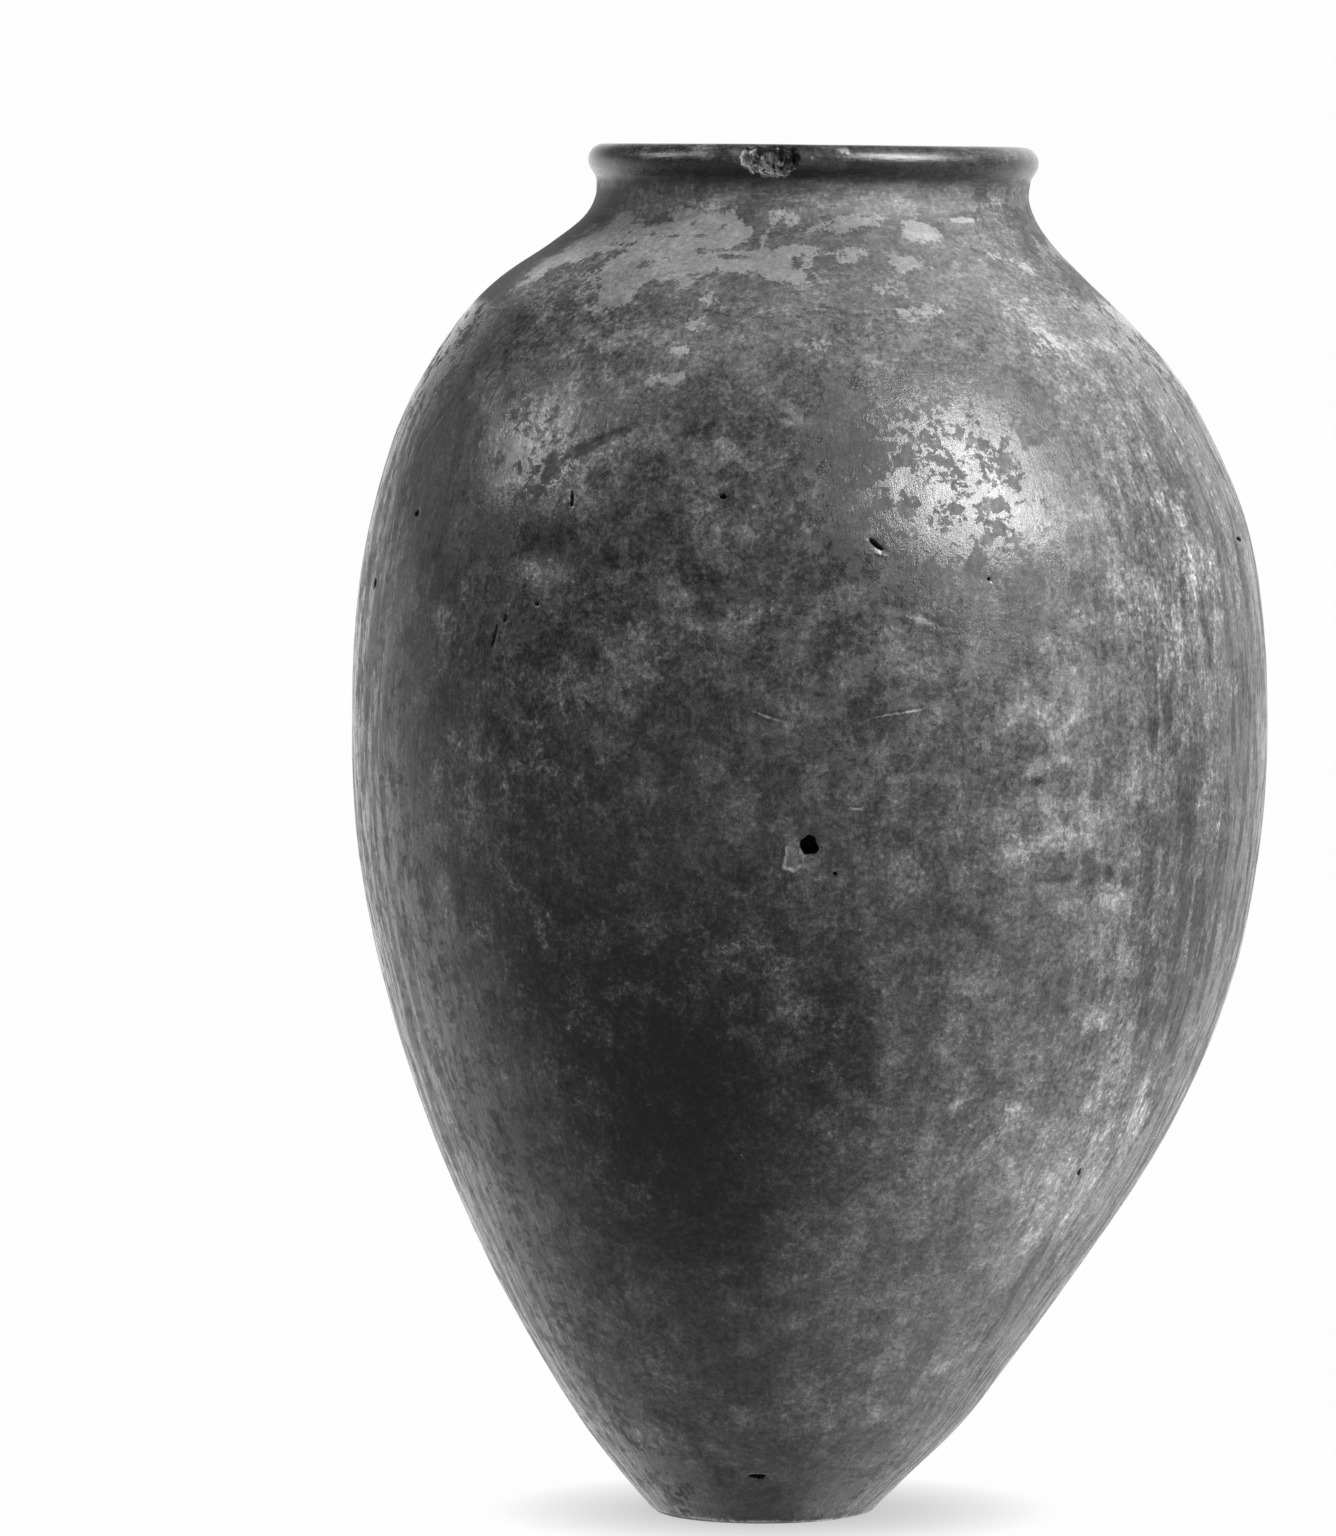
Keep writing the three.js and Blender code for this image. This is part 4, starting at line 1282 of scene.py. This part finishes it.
def slip_parts(shader, place, height):
    """Names the attributes, noises, strokes and masks that the slip's tone and gloss are made from."""
    parts = shader.parts
    drum = shader.attribute("stroke_place", "Vector")
    for name in ("pale", "dark", "bare", "cloud", "spall", "lime", "brushed", "mottling", "fade", "dull"):
        parts[name] = shader.attribute(name)
    for name, settings in SLIP_NOISES.items():
        parts[name] = shader.signed_noise(place, *settings)
    for name, settings in SLIP_STROKES.items():
        parts[name] = brush_strokes(shader, drum, height, *settings)
    parts["neck"] = shader.step(height, *NECK_WEAR)
    wear_strokes = shader.times(parts["brushed"], WEAR_STROKES)
    parts["wear_noise"] = shader.mix(wear_strokes, parts["crumbs"], parts["strokes"])
    parts["wear"] = shader.total(WEAR)
    parts["dash_noise"] = shader.signed_noise(shader.scaled(drum, DASH_STRETCH), *DASH_NOISE)
    parts["dash_band"] = shader.between(height, *DASH_BAND)
    # Painted shade on the underside of the rolled lip
    parts["painted_lip_shade"] = shader.between(height, *PAINTED_LIP_SHADE)
    parts["specks"] = shader.specks(place, *SLIP_SPECKS)
    for name, (weights, start, full) in SLIP_MASKS.items():
        parts[name] = shader.step(shader.total(weights), start, full)
    products = {
        "streaked": ("streaks", "brushed"),
        "dashes": ("dash_places", "dash_band"),
        "stroke_share": ("strokes", "brushed"),
        "fine_share": ("fine_strokes", "brushed"),
        "pale_heart": ("pale", "pale"),
        "dark_heart": ("dark", "dark"),
    }
    for name, (first, second) in products.items():
        parts[name] = shader.times(parts[first], parts[second])


def slip_tone(shader):
    """Tone of the slip: its parts add up as powers of e, and then the palest things are added."""
    parts = shader.parts
    bare = parts["bare_place"]
    parts["worn_tone"] = shader.times(shader.total(WORN), shader.ramp(bare, 0, 1, 1, BARE_WEAR))
    strength = shader.times(parts["mottling"], shader.ramp(bare, 0, 1, 1, BARE_TEXTURE))
    parts["texture"] = shader.times(shader.total(TEXTURE), strength)
    tone = shader.times(shader.exponential(shader.total(TONE)), INTACT_TONE)
    return shader.add(tone, shader.total(ADDED_TONES))


def slip_roughness(shader, height):
    """Roughness of the slip: glossy islands in matt ground, matt at the neck and glossy on the lip."""
    parts = shader.parts
    brushed = shader.times(parts["brushed"], BRUSHED_MATT)
    matt = shader.mix(brushed, shader.opposite(parts["glossy"]), shader.ramp(parts["strokes"], *STROKE_MATT))
    roughness = shader.mix(matt, GLOSSY_ROUGHNESS, MATT_ROUGHNESS)
    roughness = shader.mix(shader.between(height, *NECK_DULL), roughness, NECK_ROUGHNESS)
    return shader.mix(shader.step(height, *LIP_GLOSS), roughness, LIP_ROUGHNESS)


def slip_material():
    """Burnished slip: dark where it is whole, paler where it is worn, streaked, and glossy in islands,
    with painted light and painted shade in its tone.
    """
    material, shader = new_material("burnished_slip")
    place = shader.millimetres()
    height = shader.node("SeparateXYZ", {0: place}).outputs["Z"]
    slip_parts(shader, place, height)
    roughness = slip_roughness(shader, height)
    shader.surface(slip_tone(shader), roughness, shader.total(SLIP_BUMPS), SLIP_BUMP_DEPTH, SLIP_SPECULAR)
    return material


def clay_material():
    """Fired clay with grit: bare in the pits, on the fracture, inside the jar and under the foot.
    Painted shade in the pits and the chip's right end.
    """
    material, shader = new_material("fired_clay")
    parts = shader.parts
    place = shader.millimetres()
    drum = shader.attribute("stroke_place", "Vector")
    for name in ("pit", "seam", "fracture"):
        parts[name] = shader.attribute(name)
    parts["grain"] = shader.noise(place, *CLAY_GRAIN)
    parts["wipe"] = shader.noise(shader.scaled(drum, WIPE_STRETCH), *CLAY_WIPE)
    parts["fibres"] = shader.signed_noise(shader.scaled(place, FIBRE_STRETCH), *FIBRE_NOISE)
    parts["torn_fibres"] = shader.times(parts["fibres"], parts["fracture"])
    tone = shader.ramp(shader.noise(place, *CLAY_LARGE), *NOISE_MIDDLE, *CLAY_TONES)
    tone = shader.times(tone, shader.ramp(parts["grain"], *NOISE_MIDDLE, *GRAIN_TONES))
    tone = shader.times(tone, shader.ramp(parts["wipe"], *NOISE_MIDDLE, *WIPE_TONES))
    tone = shader.add(tone, shader.times(shader.specks(place, *PALE_GRIT), PALE_GRIT_TONE))
    dark_grit = shader.times(shader.specks(place, *DARK_GRIT), DARK_GRIT_SHARE)
    tone = shader.times(tone, shader.opposite(dark_grit))
    # Painted shade in the pits and in the right end of the chip
    tone = shader.times(tone, shader.ramp(parts["pit"], 0, 1, 1, PAINTED_SHADE_TONE))
    tone = shader.times(tone, shader.ramp(parts["seam"], 0, 1, 1, SEAM_TONE))
    torn = shader.exponential(shader.total(FRACTURE))
    tone = shader.times(tone, shader.mix(parts["fracture"], 1.0, torn))
    roughness = shader.ramp(parts["grain"], *NOISE_MIDDLE, *CLAY_ROUGHNESS)
    shader.surface(tone, roughness, shader.total(CLAY_BUMPS), CLAY_BUMP_DEPTH, CLAY_SPECULAR)
    return material


def make_floor():
    """Pale floor that looks evenly white, with a faint shadow round the foot."""
    mesh = bpy.data.meshes.new("floor")
    side = FLOOR_RADIUS * MM
    corners = [(-side, -side, 0), (side, -side, 0), (side, side, 0), (-side, side, 0)]
    mesh.from_pydata(corners, [], [(0, 1, 2, 3)])
    floor = bpy.data.objects.new("floor", mesh)
    bpy.context.scene.collection.objects.link(floor)
    material, shader = new_material("pale_floor")
    occlusion = shader.node("AmbientOcclusion", {"Distance": CONTACT_SHADOW_REACH * MM}, samples=16)
    shade = shader.ramp(occlusion.outputs["AO"], *CONTACT_SHADE)
    glow = shader.node("Emission", {"Color": (1, 1, 1, 1), "Strength": shader.times(shade, WHITE)})
    shader.node("OutputMaterial", {"Surface": glow.outputs[0]})
    mesh.materials.append(material)
    floor.visible_diffuse = False
    floor.visible_glossy = False
    floor.visible_shadow = False


def make_world():
    """White floor and backdrop, a little brighter on the left, and a dim room above and in front."""
    world = bpy.data.worlds.new("studio")
    world.use_nodes = True
    bpy.context.scene.world = world
    shader = Shader(world.node_tree)
    direction = shader.node("TexCoord").outputs["Generated"]
    right, backwards, up = shader.node("SeparateXYZ", {0: direction}).outputs
    backdrop = shader.ramp(right, *BACKDROP_TURN, BACKDROP_LEFT, BACKDROP_RIGHT)
    behind = shader.step(backwards, *BACKDROP_START)
    tilted = shader.add(up, shader.times(right, -BACKDROP_TILT))
    low = shader.opposite(shader.step(tilted, *BACKDROP_TOP))
    room = shader.mix(shader.times(behind, low), ROOM_BRIGHTNESS, backdrop)
    below = shader.mix(behind, FLOOR_BRIGHTNESS, backdrop)
    light = shader.mix(shader.step(up, *HORIZON), below, room)
    seen = shader.node("LightPath").outputs["Is Camera Ray"]
    strength = shader.mix(seen, light, WHITE)
    background = shader.node("Background", {"Color": (1, 1, 1, 1), "Strength": strength})
    shader.node("OutputWorld", {"Surface": background.outputs[0]})


def make_lamp(lamp):
    rise = math.radians(lamp.elevation)
    towards = Vector(round_axis(np.array([lamp.azimuth]), math.cos(rise), math.sin(rise))[0])
    light = bpy.data.lights.new(lamp.name, "AREA")
    light.shape = "DISK"
    light.size = lamp.size * MM
    light.energy = lamp.watts
    holder = bpy.data.objects.new(lamp.name, light)
    holder.location = (Vector(LIT_POINT) + towards * lamp.distance) * MM
    holder.rotation_euler = towards.to_track_quat("Z", "Y").to_euler()
    bpy.context.scene.collection.objects.link(holder)


def make_camera():
    data = bpy.data.cameras.new("camera")
    data.sensor_fit = "AUTO"
    data.sensor_width = SENSOR
    data.lens = LENS
    data.clip_end = FAR_CLIP * MM
    camera = bpy.data.objects.new("camera", data)
    camera.location = Vector(CAMERA_PLACE) * MM
    camera.rotation_euler = (math.radians(90 - CAMERA_PITCH), 0, 0)
    bpy.context.scene.collection.objects.link(camera)
    bpy.context.scene.camera = camera


make_camera()
make_world()
for lamp in LAMPS:
    make_lamp(lamp)
make_floor()
slip_look = slip_material()
clay_look = clay_material()
slip_coat(slip_look)
foot_disc(clay_look)
for coil in range(COIL_COUNT):
    clay_ring(f"wall_coil_{coil + 1}", COIL_SEAMS[coil], COIL_SEAMS[coil + 1], BODY_STEP, clay_look)
clay_ring("neck_collar", SHOULDER_SEAM, RIM_SEAM, NECK_STEP, clay_look)
rim_roll(clay_look)
bpy.context.scene.view_settings.view_transform = "Standard"
